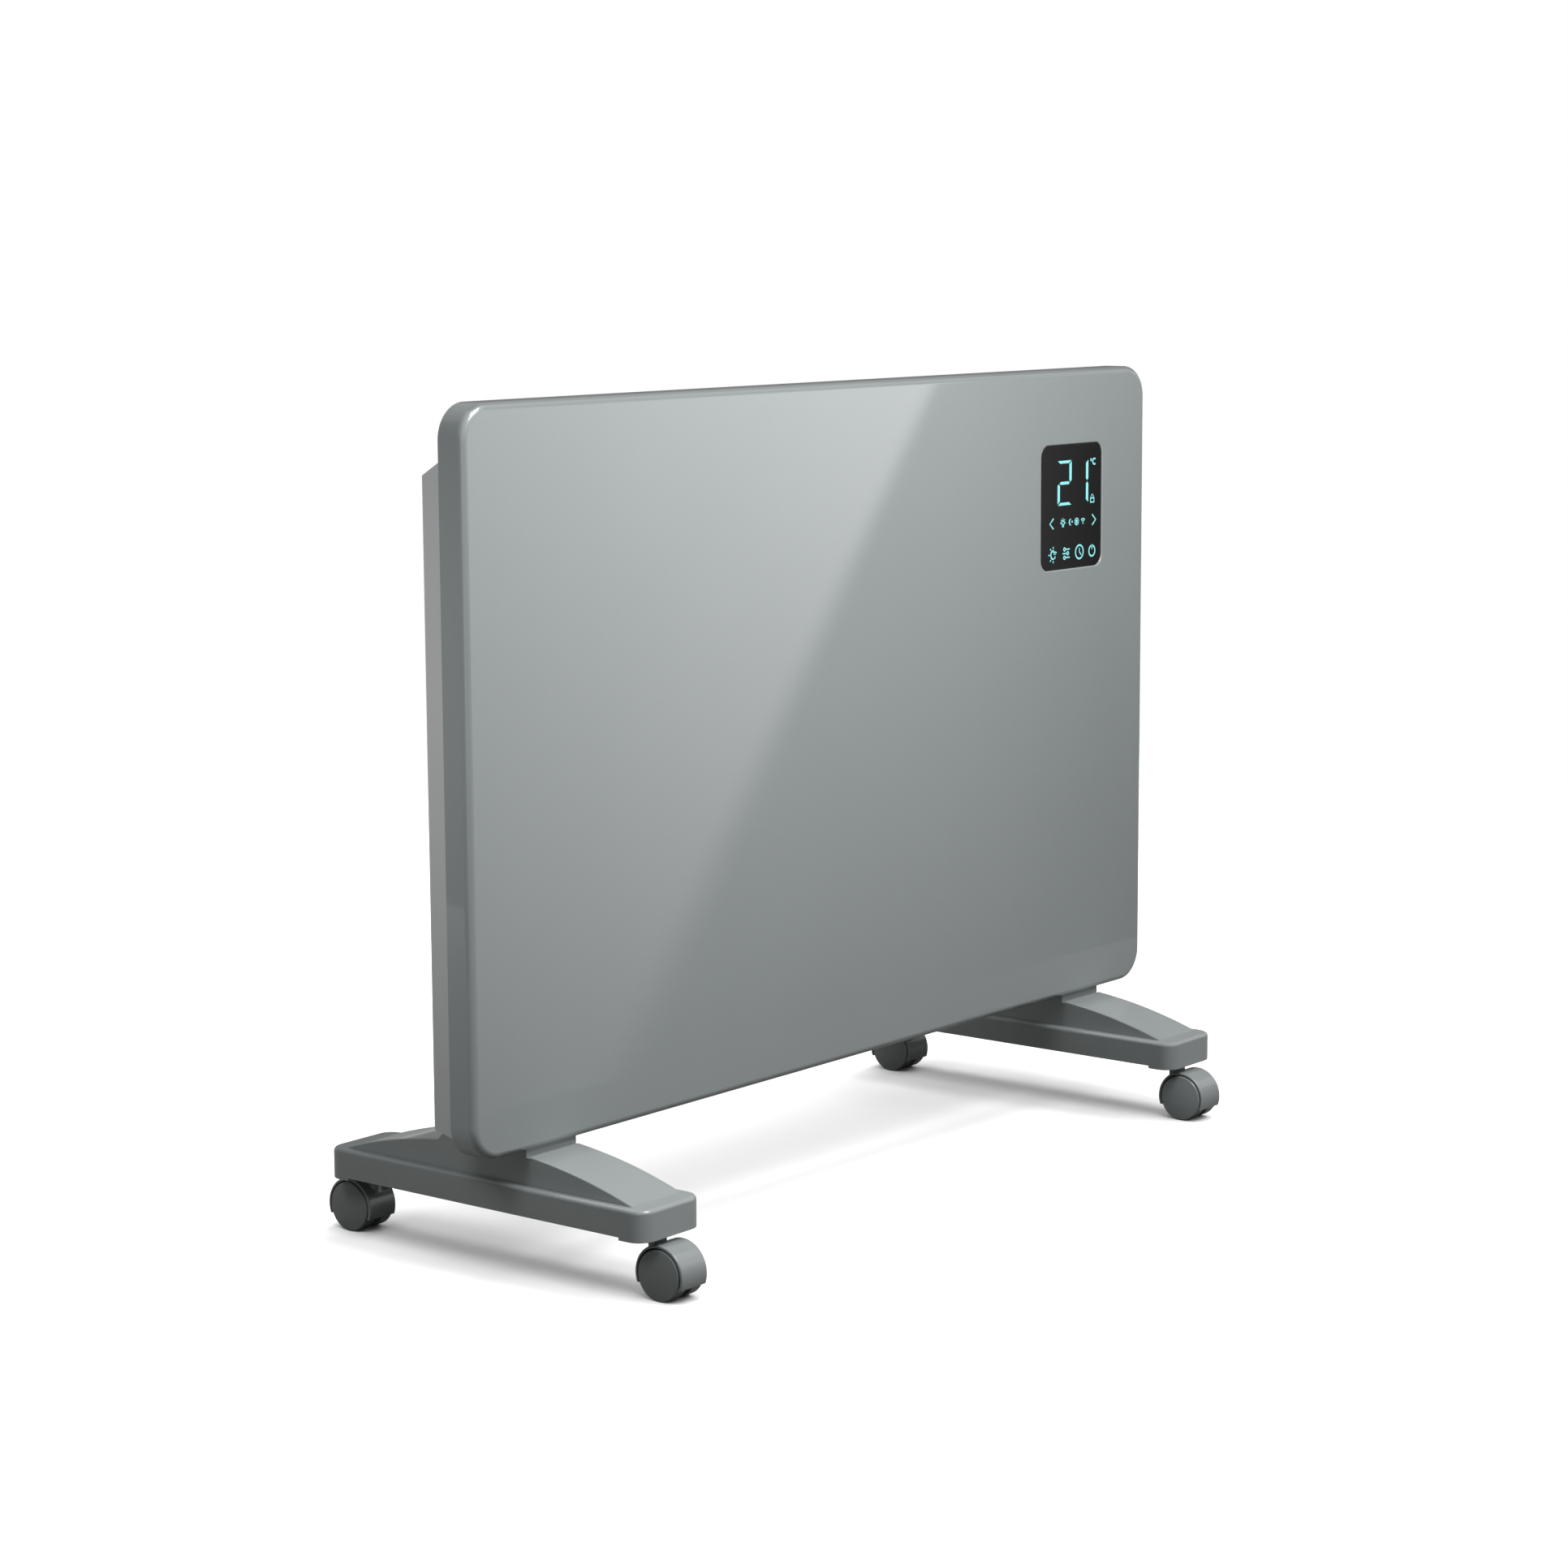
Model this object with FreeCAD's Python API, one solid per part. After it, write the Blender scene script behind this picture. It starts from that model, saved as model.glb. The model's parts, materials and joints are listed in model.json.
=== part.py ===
import FreeCAD, Part
import math
import os

os.makedirs("parts", exist_ok=True)

# Flat panel convector heater on two moulded feet with twin-wheel castors.
# Millimetres. +Z is up, the front faces -Y, and +X is to the right seen from the front.
# The origin is on the floor, under the middle of the four castors.

# ------------------------------------------------------------------ driving sizes
# Fits between pieces
press_gap = 0.02              # between a pin and the hole that grips it
running_gap = 0.05            # between a shaft and the bore that it turns in
seat_gap = 0.3                # between pieces that only sit beside each other
overrun = 1.0                 # how far a cutting tool passes the face that it opens

# Castors: two wheels on one axle under a round hood, on an offset upright stem
wheel_radius = 18.5
wheel_inner_face = 3.2        # from the castor's middle plane
wheel_outer_face = 14.2
axle_radius = 2.0
axle_half_length = 12.0
axle_end_space = 0.4
hood_gap = 1.1                # between the tyre and the hood's inside
hood_wall = 1.9
hood_half_width = 13.5
hood_skirt = 7.5              # how far the hood hangs below the axle
hood_web = 5.0                # wall between the two wheels, which holds the axle
castor_trail = 12.0           # from the stem's axis to the axle
boss_radius = 6.5
boss_rise = 4.2               # boss top above the hood's crown
stem_radius = 3.5
stem_grip = 7.0               # stem length held in the boss
stem_reach = 17.4             # stem length inside the foot
stem_end_space = 0.4
swivel_space = 0.4            # between boss and foot

# Feet
foot_length = 305.0
foot_width = 66.0
foot_corner_radius = 13.0
foot_side_margin = 84.0       # from the panel's side to the foot's middle
foot_wall = 2.5
rim_height = 20.7
rim_edge_bevel = 1.8
pad_length = 21.5             # lowered end of the foot that takes a castor
pad_drop = 2.2
pad_wall = 2.5
stem_inset = 14.5             # stem axis from the foot's end
arch_width = 52.0
arch_rise = 22.9
arch_end_inset = 13.5         # from the foot's end to where the arch meets the rim
arch_edge_bevel = 0.8
neck_length = 80.0
neck_step = 3.1               # neck top above the arch's crown
neck_groove = 2.6
neck_groove_depth = 1.2
neck_rear_slope = 7.0         # run of the slope behind the neck
neck_rear_drop = 2.9          # foot of that slope below the arch's crown
riser_width = 40.0            # block between the neck and the rear housing
rib_thickness = 2.0
rib_pitch = 44.0
rib_recess = 1.5              # ribs stop short of the foot's underside
foot_screw_hole_radius = 2.8
foot_screw_spacing = 24.0
foot_screw_boss_wall = 3.5
foot_screw_boss_depth = 13.5
nut_plate_thickness = 3.0
nut_plate_margin = 1.5
nut_plate_hole_radius = 2.1     # tapping size

# Front shell
panel_width = 830.0
panel_height = 522.0
panel_corner_radius = 30.0
panel_face_ahead = 45.5       # front face ahead of the castors' middle
shell_depth = 22.4
shell_wall = 1.2
shell_edge_radius = 5.5
shell_return = 9.5            # flange folded inwards round the shell's back

# Rear housing
housing_depth = 26.4
housing_inset = 10.0          # housing side inside the shell's side
housing_wall = 1.0
housing_edge_radius = 2.5
housing_bottom_rise = 11.2    # above the shell's underside, at the back plate
housing_top_drop = 35.1       # below the shell's top, at the back plate
housing_bottom_slope = 14.0   # degrees
housing_top_slope = 30.7      # degrees
back_plate_inset = 3.0
grille_pitch = 30.0
grille_slot = 18.0
outlet_slot_length = 21.0
intake_slot_length = 17.0
grille_end_margin = 26.0
grille_foot_margin = 10.0
wall_hole_radius = 2.75
wall_hole_side_margin = 165.0  # from the housing's side
wall_hole_spacing_z = 260.0
wall_hole_top_margin = 90.0   # upper holes below the shell's top

# Display
window_width = 88.0
window_height = 102.0
window_corner_radius = 10.0
window_side_margin = 64.0     # from the shell's right side
window_top_margin = 61.0
window_lip = 0.9
window_recess = 0.8
window_thickness = 2.0
window_gap = 0.25
carrier_rim = 8.0
carrier_ledge = 4.0
carrier_depth = 8.3
guide_skin = 1.6              # light guide's front over its wells
guide_wall = 3.0              # between and round the wells
guide_digit_share = 0.55      # share of the guide's height that the digit wells take
board_thickness = 1.6
board_margin = 2.0
driver_size = 20.0
driver_rise = 2.0
driver_drop = 30.0            # driver chip's middle below the window's middle

# Heating element, its brackets and the sheet that keeps the front cool
element_left_margin = 45.0    # from the housing's left side to the element
element_right_margin = 135.0  # room for the electrical pieces
element_height = 106.0        # element axis above the housing's lowest edge
element_ahead = 19.0          # element axis ahead of the housing's back wall
element_core_wall = 2.4
fin_length = 27.0
fin_thickness = 1.6
fin_angle = 35.0              # from vertical, degrees
fin_slit = 2.0
fin_slit_count = 9
rod_radius = 4.0
rod_overhang = 20.0
rod_pin_radius = 1.6
rod_pin_length = 7.0
insulator_half = 8.0          # half the side of the square block
insulator_length = 8.0
bracket_thickness = 1.2
bracket_overhang = 12.0       # bracket plane beyond the element's end
bracket_height = 50.0
bracket_depth = 32.0
bracket_flange = 12.0
bracket_corner_radius = 10.0
baffle_thickness = 0.8
baffle_end_space = 10.0       # beyond the heating rod's tips
baffle_depth = 39.0
baffle_bottom = 44.0          # above the housing's lowest edge
baffle_top = 322.0
cutout_radius = 8.0
cutout_height = 9.0
cutout_flange = 24.0
cutout_flange_width = 14.0
cutout_flange_thickness = 0.8
cutout_tab_width = 5.0
cutout_tab_length = 8.0
cutout_tab_spacing = 8.0
cutout_inset = 90.0           # from the element's right end
cutout_height_above = 220.0

# Electrical pieces at the right-hand end
box_side_margin = 13.0        # from the housing's right side
box_width = 74.0
box_bottom = 84.0             # above the housing's lowest edge
box_height = 150.0
box_depth = 26.0
box_wall = 1.8
circuit_standoff = 5.0
circuit_margin = 1.5
relay_size = 20.0
relay_height = 12.0
relay_spacing = 28.0
relay_drop = 30.0             # relays' middle below the box's top
supply_width = 40.0
supply_length = 30.0
supply_rise = 35.0            # supply block's middle above the box's bottom
fuse_width = 6.0
fuse_rise = 73.0              # fuse's middle above the box's bottom
terminal_length = 34.0
terminal_height = 14.0
terminal_depth = 15.0
terminal_bottom = 30.0
terminal_ways = 3
terminal_hole = 4.0           # side of a square wire entry
terminal_slot = 1.0
terminal_slot_depth = 6.0
tip_switch_width = 22.0
tip_switch_height = 30.0
tip_switch_depth = 18.0
tip_switch_bottom = 258.0
tip_switch_wall = 1.5
tip_roller_radius = 5.0
tip_roller_length = 16.0
sensor_radius = 2.0
sensor_length = 16.0
sensor_clip = 8.0
sensor_clip_height = 6.0
sensor_ahead = 4.5
sensor_bottom = 9.0
switch_height_above = 46.0    # mains switch above the housing's lowest edge
switch_cutout_width = 13.0
switch_cutout_height = 19.0
switch_flange_margin = 1.3
switch_flange = 1.2
switch_depth = 18.0
switch_cutout_gap = 0.1
rocker_radius = 7.4
rocker_width = 9.0
rocker_gap = 0.3
rocker_valley = 2.5           # valley of the rocker outside its pivot
rocker_pivot_depth = 3.0      # pivot inside the housing's side
rocker_tilt = 8.0             # degrees
rocker_pin_radius = 1.0
rocker_pin_length = 1.0
gland_hole_radius = 6.0
gland_bore_radius = 3.7
gland_flange_radius = 9.0
gland_flange = 2.0
gland_length = 12.0
gland_side_margin = 31.0      # from the housing's right side
gland_height_above = 66.0

# ------------------------------------------------------------------ derived places
hood_radius = wheel_radius + hood_gap + hood_wall
axle_z = wheel_radius
boss_top = axle_z + hood_radius + boss_rise
pad_underside = boss_top + swivel_space
foot_underside = pad_underside + pad_drop
rim_top = foot_underside + rim_height
arch_crown = rim_top + arch_rise
neck_top = arch_crown + neck_step
foot_x = panel_width / 2 - foot_side_margin
stem_y = foot_length / 2 - stem_inset

panel_bottom = neck_top
panel_top = panel_bottom + panel_height
panel_middle = (panel_bottom + panel_top) / 2
shell_face = -panel_face_ahead
shell_inside = shell_face + shell_wall
shell_back = shell_face + shell_depth
housing_back = shell_back + housing_depth
housing_inside = housing_back - housing_wall
housing_half_width = panel_width / 2 - housing_inset
housing_low = panel_bottom + housing_bottom_rise
housing_high = panel_top - housing_top_drop
element_left = element_left_margin - housing_half_width
element_right = housing_half_width - element_right_margin
box_right = housing_half_width - box_side_margin
box_left = box_right - box_width
gland_x = housing_half_width - gland_side_margin

window_x = panel_width / 2 - window_side_margin - window_width / 2
window_z = panel_top - window_top_margin - window_height / 2
window_face = shell_face + window_recess
window_back = window_face + window_thickness


# ------------------------------------------------------------------ shape helpers
def vec(x, y, z):
    return FreeCAD.Vector(x, y, z)


def block(x0, x1, y0, y1, z0, z1):
    return Part.makeBox(x1 - x0, y1 - y0, z1 - z0, vec(x0, y0, z0))


def bar(radius, start, end):
    """Round bar between two points."""
    axis = end.sub(start)
    return Part.makeCylinder(radius, axis.Length, start, axis)


def round_edges(shape, radius, chosen):
    """Fillet the edges for which chosen(edge) is true."""
    return shape.makeFillet(radius, [edge for edge in shape.Edges if chosen(edge)])


def bevel_edges(shape, size, chosen):
    """Chamfer the edges for which chosen(edge) is true."""
    return shape.makeChamfer(size, [edge for edge in shape.Edges if chosen(edge)])


def runs_along(axis):
    """Test for straight edges that run along one axis."""
    def test(edge):
        start, end = edge.Vertexes[0].Point, edge.Vertexes[-1].Point
        span = end.sub(start)
        return span.Length > 0 and abs(span.dot(axis)) > 0.999 * span.Length
    return test


def upright_plate(width, height, radius, x, z, y0, y1):
    """Plate that faces front, with rounded corners, centred on x and z."""
    plate = block(x - width / 2, x + width / 2, y0, y1, z - height / 2, z + height / 2)
    return round_edges(plate, radius, runs_along(vec(0, 1, 0)))


def prism_x(points, x0, x1):
    """Outline of (y, z) points drawn out along X."""
    corners = [vec(x0, y, z) for y, z in points]
    face = Part.Face(Part.makePolygon(corners + corners[:1]))
    return face.extrude(vec(x1 - x0, 0, 0))


def prism_y(points, y0, y1):
    """Outline of (x, z) points drawn out along Y."""
    corners = [vec(x, y0, z) for x, z in points]
    face = Part.Face(Part.makePolygon(corners + corners[:1]))
    return face.extrude(vec(0, y1 - y0, 0))


def turned(points, centre, axis, out):
    """Solid turned about axis through centre, from (along, radius) points."""
    corners = [centre + axis * along + out * radius for along, radius in points]
    face = Part.Face(Part.makePolygon(corners + corners[:1]))
    return face.revolve(centre, axis, 360)


def fuse_all(shapes):
    first, rest = shapes[0], shapes[1:]
    return first.fuse(rest).removeSplitter() if rest else first


def save(shape, name):
    """Write one node, as its only solid or as a group of separate solids."""
    solids = shape.Solids
    piece = solids[0] if len(solids) == 1 else Part.makeCompound(solids)
    if not piece.isValid():
        raise ValueError(name + " is not a valid solid")
    piece.exportStep("parts/" + name + ".step")


# ------------------------------------------------------------------ rear housing outline
def housing_bottom_z(y, inward=0.0):
    """Height of the housing's sloping underside at y, moved inward by a distance."""
    slope = math.radians(housing_bottom_slope)
    return housing_low + (y - shell_back) * math.tan(slope) + inward / math.cos(slope)


def housing_top_z(y, inward=0.0):
    """Height of the housing's sloping top at y, moved inward by a distance."""
    slope = math.radians(housing_top_slope)
    return housing_high - (y - shell_back) * math.tan(slope) - inward / math.cos(slope)


housing_floor = housing_bottom_z(housing_back)     # height of the housing's lower back edge


def housing_box(inward, front, edge_radius):
    """The housing's box, moved inward, from the plane y = front to its back wall."""
    back = housing_back - inward
    half = housing_half_width - inward
    outline = [
        (front, housing_bottom_z(front, inward)),
        (back, housing_bottom_z(back, inward)),
        (back, housing_top_z(back, inward)),
        (front, housing_top_z(front, inward)),
    ]
    box = prism_x(outline, -half, half)
    if not edge_radius:
        return box
    return round_edges(box, edge_radius, lambda edge: edge.BoundBox.YMin > back - 0.01)


def grille_places():
    """Middles of the grille slots along X."""
    half_run = housing_half_width - grille_end_margin
    count = int(2 * half_run / grille_pitch)
    start = -(count - 1) * grille_pitch / 2
    return [start + index * grille_pitch for index in range(count)]


def grille_slots(places, y, z, slope, length):
    """Slots cut square through a face that slopes by an angle, at each place along X."""
    reach = 4 * housing_wall
    tools = []
    for x in places:
        tool = block(-grille_slot / 2, grille_slot / 2, -length / 2, length / 2, -reach, reach)
        tool.rotate(vec(0, 0, 0), vec(1, 0, 0), slope)
        tool.translate(vec(x, y, z))
        tools.append(tool)
    return tools


def wall_holes():
    """Places of the four holes for the wall bracket, as (x, z)."""
    high = panel_top - wall_hole_top_margin
    half = housing_half_width - wall_hole_side_margin
    return [(x, z) for x in (-half, half) for z in (high - wall_hole_spacing_z, high)]


# ------------------------------------------------------------------ casing
def front_shell():
    outer = upright_plate(panel_width, panel_height, panel_corner_radius,
                          0, panel_middle, shell_face, shell_back)
    outer = round_edges(outer, shell_edge_radius, lambda edge: edge.BoundBox.YMax < shell_face + 0.01)
    hollow = upright_plate(panel_width - 2 * shell_wall, panel_height - 2 * shell_wall,
                           panel_corner_radius - shell_wall,
                           0, panel_middle, shell_inside, shell_back - shell_wall)
    hollow = bevel_edges(hollow, (shell_edge_radius - shell_wall) / 2,
                         lambda edge: edge.BoundBox.YMax < shell_inside + 0.01)
    mouth = upright_plate(panel_width - 2 * shell_return, panel_height - 2 * shell_return,
                          panel_corner_radius - shell_return,
                          0, panel_middle, shell_back - 2 * shell_wall, shell_back + shell_wall)
    window = upright_plate(window_width, window_height, window_corner_radius,
                           window_x, window_z, shell_face - shell_wall, shell_inside + shell_wall)
    shell = outer.cut(window)
    half_window = window_width / 2 + shell_wall

    def is_window_edge(edge):
        bounds = edge.BoundBox
        return bounds.YMax < shell_face + 0.01 and abs(bounds.Center.x - window_x) < half_window \
            and abs(bounds.Center.z - window_z) < window_height / 2 + shell_wall

    shell = bevel_edges(shell, window_lip, is_window_edge)
    return shell.cut([hollow, mouth])


def rear_housing():
    plate = upright_plate(panel_width - 2 * back_plate_inset, panel_height - 2 * back_plate_inset,
                          panel_corner_radius - back_plate_inset,
                          0, panel_middle, shell_back, shell_back + housing_wall)
    outer = housing_box(0, shell_back, housing_edge_radius)
    inner = housing_box(housing_wall, shell_back - housing_wall, 0)
    middle = (shell_back + housing_wall + housing_back) / 2
    clear_of_feet = [x for x in grille_places()
                     if abs(abs(x) - foot_x) > foot_width / 2 + grille_foot_margin]
    tools = grille_slots(grille_places(), middle, housing_top_z(middle), -housing_top_slope,
                         outlet_slot_length)
    tools += grille_slots(clear_of_feet, middle, housing_bottom_z(middle), housing_bottom_slope,
                          intake_slot_length)
    tools += [bar(wall_hole_radius, vec(x, housing_inside - housing_wall, z),
                  vec(x, housing_back + housing_wall, z)) for x, z in wall_holes()]
    tools += [bar(foot_screw_hole_radius, vec(x, y, neck_top), vec(x, y, housing_floor + foot_wall))
              for side in (-1, 1) for x, y in foot_screw_places(side)]
    tools.append(switch_opening())
    tools.append(bar(gland_hole_radius, vec(gland_x, housing_inside - housing_wall, gland_z()),
                     vec(gland_x, housing_back + housing_wall, gland_z())))
    return plate.fuse(outer).cut(inner).cut(tools).removeSplitter()


# ------------------------------------------------------------------ display
def display_window():
    gap = 2 * window_gap
    return upright_plate(window_width - gap, window_height - gap, window_corner_radius - window_gap,
                         window_x, window_z, window_face, window_back)


def display_carrier():
    """Frame behind the shell: a rebate for the window and an open middle for the light guide."""
    half_width, half_height = window_width / 2 + carrier_rim, window_height / 2 + carrier_rim
    body = block(window_x - half_width, window_x + half_width, shell_inside, shell_inside + carrier_depth,
                 window_z - half_height, window_z + half_height)
    rebate = upright_plate(window_width, window_height, window_corner_radius,
                           window_x, window_z, shell_inside - shell_wall, window_back)
    half_width, half_height = window_width / 2 - carrier_ledge, window_height / 2 - carrier_ledge
    middle = block(window_x - half_width, window_x + half_width,
                   window_back - shell_wall, shell_inside + carrier_depth + shell_wall,
                   window_z - half_height, window_z + half_height)
    return body.cut([rebate, middle])


def light_guide():
    """Block with a well behind each digit and one behind the keys, between window and board."""
    half_width = window_width / 2 - carrier_ledge - window_gap
    half_height = window_height / 2 - carrier_ledge - window_gap
    body = block(window_x - half_width, window_x + half_width, window_back, shell_inside + carrier_depth,
                 window_z - half_height, window_z + half_height)
    left, right = window_x - half_width + guide_wall, window_x + half_width - guide_wall
    bottom, top = window_z - half_height + guide_wall, window_z + half_height - guide_wall
    split = top - guide_digit_share * (top - bottom)
    half_wall = guide_wall / 2
    wells = []
    for x0, x1, z0, z1 in ((left, window_x - half_wall, split + half_wall, top),
                           (window_x + half_wall, right, split + half_wall, top),
                           (left, right, bottom, split - half_wall)):
        wells.append(block(x0, x1, window_back + guide_skin, shell_inside + carrier_depth + overrun, z0, z1))
    return body.cut(wells)


def display_board():
    back = shell_inside + carrier_depth
    rim = carrier_rim - board_margin
    half_width, half_height = window_width / 2 + rim, window_height / 2 + rim
    board = block(window_x - half_width, window_x + half_width, back, back + board_thickness,
                  window_z - half_height, window_z + half_height)
    front, half = back + board_thickness, driver_size / 2
    z = window_z - driver_drop
    driver = block(window_x - half, window_x + half, front, front + driver_rise, z - half / 2, z + half / 2)
    return board.fuse(driver)


# ------------------------------------------------------------------ heating element
element_y = housing_back - element_ahead
element_z = housing_floor + element_height
core_radius = rod_radius + running_gap + element_core_wall


def heating_element():
    """Extruded core with four slit fins that form an X."""
    start, end = vec(element_left, element_y, element_z), vec(element_right, element_y, element_z)
    body = [bar(core_radius, start, end)]
    for turn in (fin_angle, -fin_angle, 180 - fin_angle, 180 + fin_angle):
        fin = block(element_left, element_right, element_y - fin_thickness / 2,
                    element_y + fin_thickness / 2, element_z + core_radius / 2, element_z + fin_length)
        fin.rotate(start, vec(1, 0, 0), turn)
        body.append(fin)
    pitch = (element_right - element_left) / fin_slit_count
    core_side = core_radius * math.cos(math.radians(fin_angle)) + fin_slit
    slits = []
    for index in range(1, fin_slit_count):
        x = element_left + index * pitch
        for side in (-1, 1):
            z = sorted((element_z + side * core_side, element_z + side * fin_length))
            slits.append(block(x - fin_slit / 2, x + fin_slit / 2, element_y - fin_length,
                               element_y + fin_length, z[0], z[1]))
    bore = bar(rod_radius + running_gap, start, end)
    return fuse_all(body).cut(slits + [bore])


def heating_rod():
    """Tubular heater with a contact pin at each end."""
    left, right = element_left - rod_overhang, element_right + rod_overhang
    outline = [
        (left - rod_pin_length, 0),
        (left - rod_pin_length, rod_pin_radius),
        (left, rod_pin_radius),
        (left, rod_radius),
        (right, rod_radius),
        (right, rod_pin_radius),
        (right + rod_pin_length, rod_pin_radius),
        (right + rod_pin_length, 0),
    ]
    return turned(outline, vec(0, element_y, element_z), vec(1, 0, 0), vec(0, 0, 1))


def bracket_place(side):
    """X of the bracket plate's middle on one side."""
    return element_left - bracket_overhang if side < 0 else element_right + bracket_overhang


def element_insulator(side):
    """Square ceramic block that holds the rod in its bracket."""
    x, half = bracket_place(side), insulator_length / 2
    tile = block(x - half, x + half, element_y - insulator_half, element_y + insulator_half,
                 element_z - insulator_half, element_z + insulator_half)
    bore = bar(rod_radius + press_gap, vec(x - half, element_y, element_z),
               vec(x + half, element_y, element_z))
    return tile.cut(bore)


def element_bracket(side):
    """Folded bracket that stands on the housing's back wall."""
    x = bracket_place(side)
    low, high = element_z - bracket_height / 2, element_z + bracket_height / 2
    half = bracket_thickness / 2
    web = block(x - half, x + half, housing_inside - bracket_depth, housing_inside, low, high)
    web = round_edges(web, bracket_corner_radius, lambda edge: runs_along(vec(1, 0, 0))(edge)
                      and edge.BoundBox.YMax < housing_inside - half)
    outer = x + side * bracket_flange
    flange = block(min(x, outer), max(x, outer), housing_inside - bracket_thickness, housing_inside,
                   low, high)
    hole_half = insulator_half + press_gap
    hole = block(x - bracket_flange, x + bracket_flange, element_y - hole_half, element_y + hole_half,
                 element_z - hole_half, element_z + hole_half)
    return web.fuse(flange).cut(hole)


baffle_left = element_left - rod_overhang - baffle_end_space
baffle_right = element_right + rod_overhang + baffle_end_space
baffle_face = housing_inside - baffle_depth


def heat_baffle():
    """Sheet ahead of the element, folded back to the housing at both ends."""
    low, high = housing_floor + baffle_bottom, housing_floor + baffle_top
    outer = block(baffle_left, baffle_right, baffle_face, housing_inside, low, high)
    outer = round_edges(outer, 2 * baffle_thickness, lambda edge: runs_along(vec(0, 0, 1))(edge)
                        and edge.BoundBox.YMax < housing_inside - baffle_thickness)
    inner = block(baffle_left + baffle_thickness, baffle_right - baffle_thickness,
                  baffle_face + baffle_thickness, housing_inside + baffle_thickness,
                  low - baffle_thickness, high + baffle_thickness)
    inner = round_edges(inner, baffle_thickness, lambda edge: runs_along(vec(0, 0, 1))(edge)
                        and edge.BoundBox.YMax < housing_inside)
    return outer.cut(inner)


def thermal_cutout():
    """Bimetal cut-out on the back of the baffle, with its two tabs."""
    x, z = element_right - cutout_inset, housing_floor + cutout_height_above
    seat = baffle_face + baffle_thickness
    top = seat + cutout_height
    half_width, half_height = cutout_flange / 2, cutout_flange_width / 2
    flange = block(x - half_width, x + half_width, seat, seat + cutout_flange_thickness,
                   z - half_height, z + half_height)
    pieces = [flange, bar(cutout_radius, vec(x, seat, z), vec(x, top, z))]
    half_tab, half_thickness = cutout_tab_width / 2, cutout_flange_thickness / 2
    for tab_x in (x - cutout_tab_spacing / 2, x + cutout_tab_spacing / 2):
        pieces.append(block(tab_x - half_thickness, tab_x + half_thickness, top, top + cutout_tab_length,
                            z - half_tab, z + half_tab))
    return fuse_all(pieces)


# ------------------------------------------------------------------ electrical pieces
def power_board_box():
    """Open tray on the housing's back wall."""
    low, high = housing_floor + box_bottom, housing_floor + box_bottom + box_height
    tray = block(box_left, box_right, housing_inside - box_depth, housing_inside, low, high)
    inside = block(box_left + box_wall, box_right - box_wall,
                   housing_inside - box_depth - box_wall, housing_inside - box_wall,
                   low + box_wall, high - box_wall)
    posts = []
    inset = box_wall + 2 * circuit_margin
    for x in (box_left + inset, box_right - inset):
        for z in (low + inset, high - inset):
            posts.append(block(x - circuit_margin, x + circuit_margin,
                               housing_inside - box_wall - circuit_standoff, housing_inside - box_wall,
                               z - circuit_margin, z + circuit_margin))
    return fuse_all([tray.cut(inside)] + posts)


def power_board():
    """Circuit board with two relays, a supply block and a fuse."""
    low, high = housing_floor + box_bottom, housing_floor + box_bottom + box_height
    edge = box_wall + circuit_margin / 2
    back = housing_inside - box_wall - circuit_standoff
    front = back - board_thickness
    middle = (box_left + box_right) / 2
    pieces = [block(box_left + edge, box_right - edge, front, back, low + edge, high - edge)]
    placed = [
        (middle - relay_spacing / 2, high - relay_drop, relay_size, relay_size, relay_height),
        (middle + relay_spacing / 2, high - relay_drop, relay_size, relay_size, relay_height),
        (middle, low + supply_rise, supply_width, supply_length, relay_height),
        (middle, low + fuse_rise, supply_width, fuse_width, fuse_width),
    ]
    for x, z, width, length, rise in placed:
        pieces.append(block(x - width / 2, x + width / 2, front - rise, front, z - length / 2, z + length / 2))
    return fuse_all(pieces)


def terminal_block():
    """Three-way screw terminal on the back wall, open at its ends."""
    left, low = box_left + box_wall, housing_floor + terminal_bottom
    front, high = housing_inside - terminal_depth, low + terminal_height
    body = block(left, left + terminal_length, front, housing_inside, low, high)
    pitch = terminal_length / terminal_ways
    y, half = housing_inside - terminal_depth / 2, terminal_hole / 2
    tools = []
    for index in range(terminal_ways):
        x = left + (index + 0.5) * pitch
        tools.append(block(x - half, x + half, y - half, y + half, low - overrun, high + overrun))
    for index in range(1, terminal_ways):
        x = left + index * pitch
        tools.append(block(x - terminal_slot / 2, x + terminal_slot / 2, front - overrun,
                           front + terminal_slot_depth, low - overrun, high + overrun))
    return body.cut(tools)


def tip_over_switch():
    """Cup with a steel roller that opens the contact when the heater tips over."""
    low = housing_floor + tip_switch_bottom
    left = (box_left + box_right) / 2 - tip_switch_width / 2
    cup = block(left, left + tip_switch_width, housing_inside - tip_switch_depth, housing_inside,
                low, low + tip_switch_height)
    inside = block(left + tip_switch_wall, left + tip_switch_width - tip_switch_wall,
                   housing_inside - tip_switch_depth + tip_switch_wall, housing_inside - tip_switch_wall,
                   low + tip_switch_wall, low + tip_switch_height - tip_switch_wall)
    middle_y, z = housing_inside - tip_switch_depth / 2, low + tip_switch_wall + tip_roller_radius
    half = tip_roller_length / 2
    roller = bar(tip_roller_radius, vec(left + tip_switch_width / 2 - half, middle_y, z),
                 vec(left + tip_switch_width / 2 + half, middle_y, z))
    return Part.makeCompound([cup.cut(inside), roller])


def room_sensor():
    """Temperature probe in a clip, in the intake air at the bottom."""
    x = box_left - 2 * sensor_clip
    y = housing_inside - sensor_ahead
    low = housing_floor + sensor_bottom
    probe = bar(sensor_radius, vec(x, y, low), vec(x, y, low + sensor_length))
    clip_low = low + sensor_length / 2
    clip = block(x - sensor_clip / 2, x + sensor_clip / 2, y - sensor_radius - tip_switch_wall,
                 housing_inside, clip_low, clip_low + sensor_clip_height)
    return probe.fuse(clip)


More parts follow.
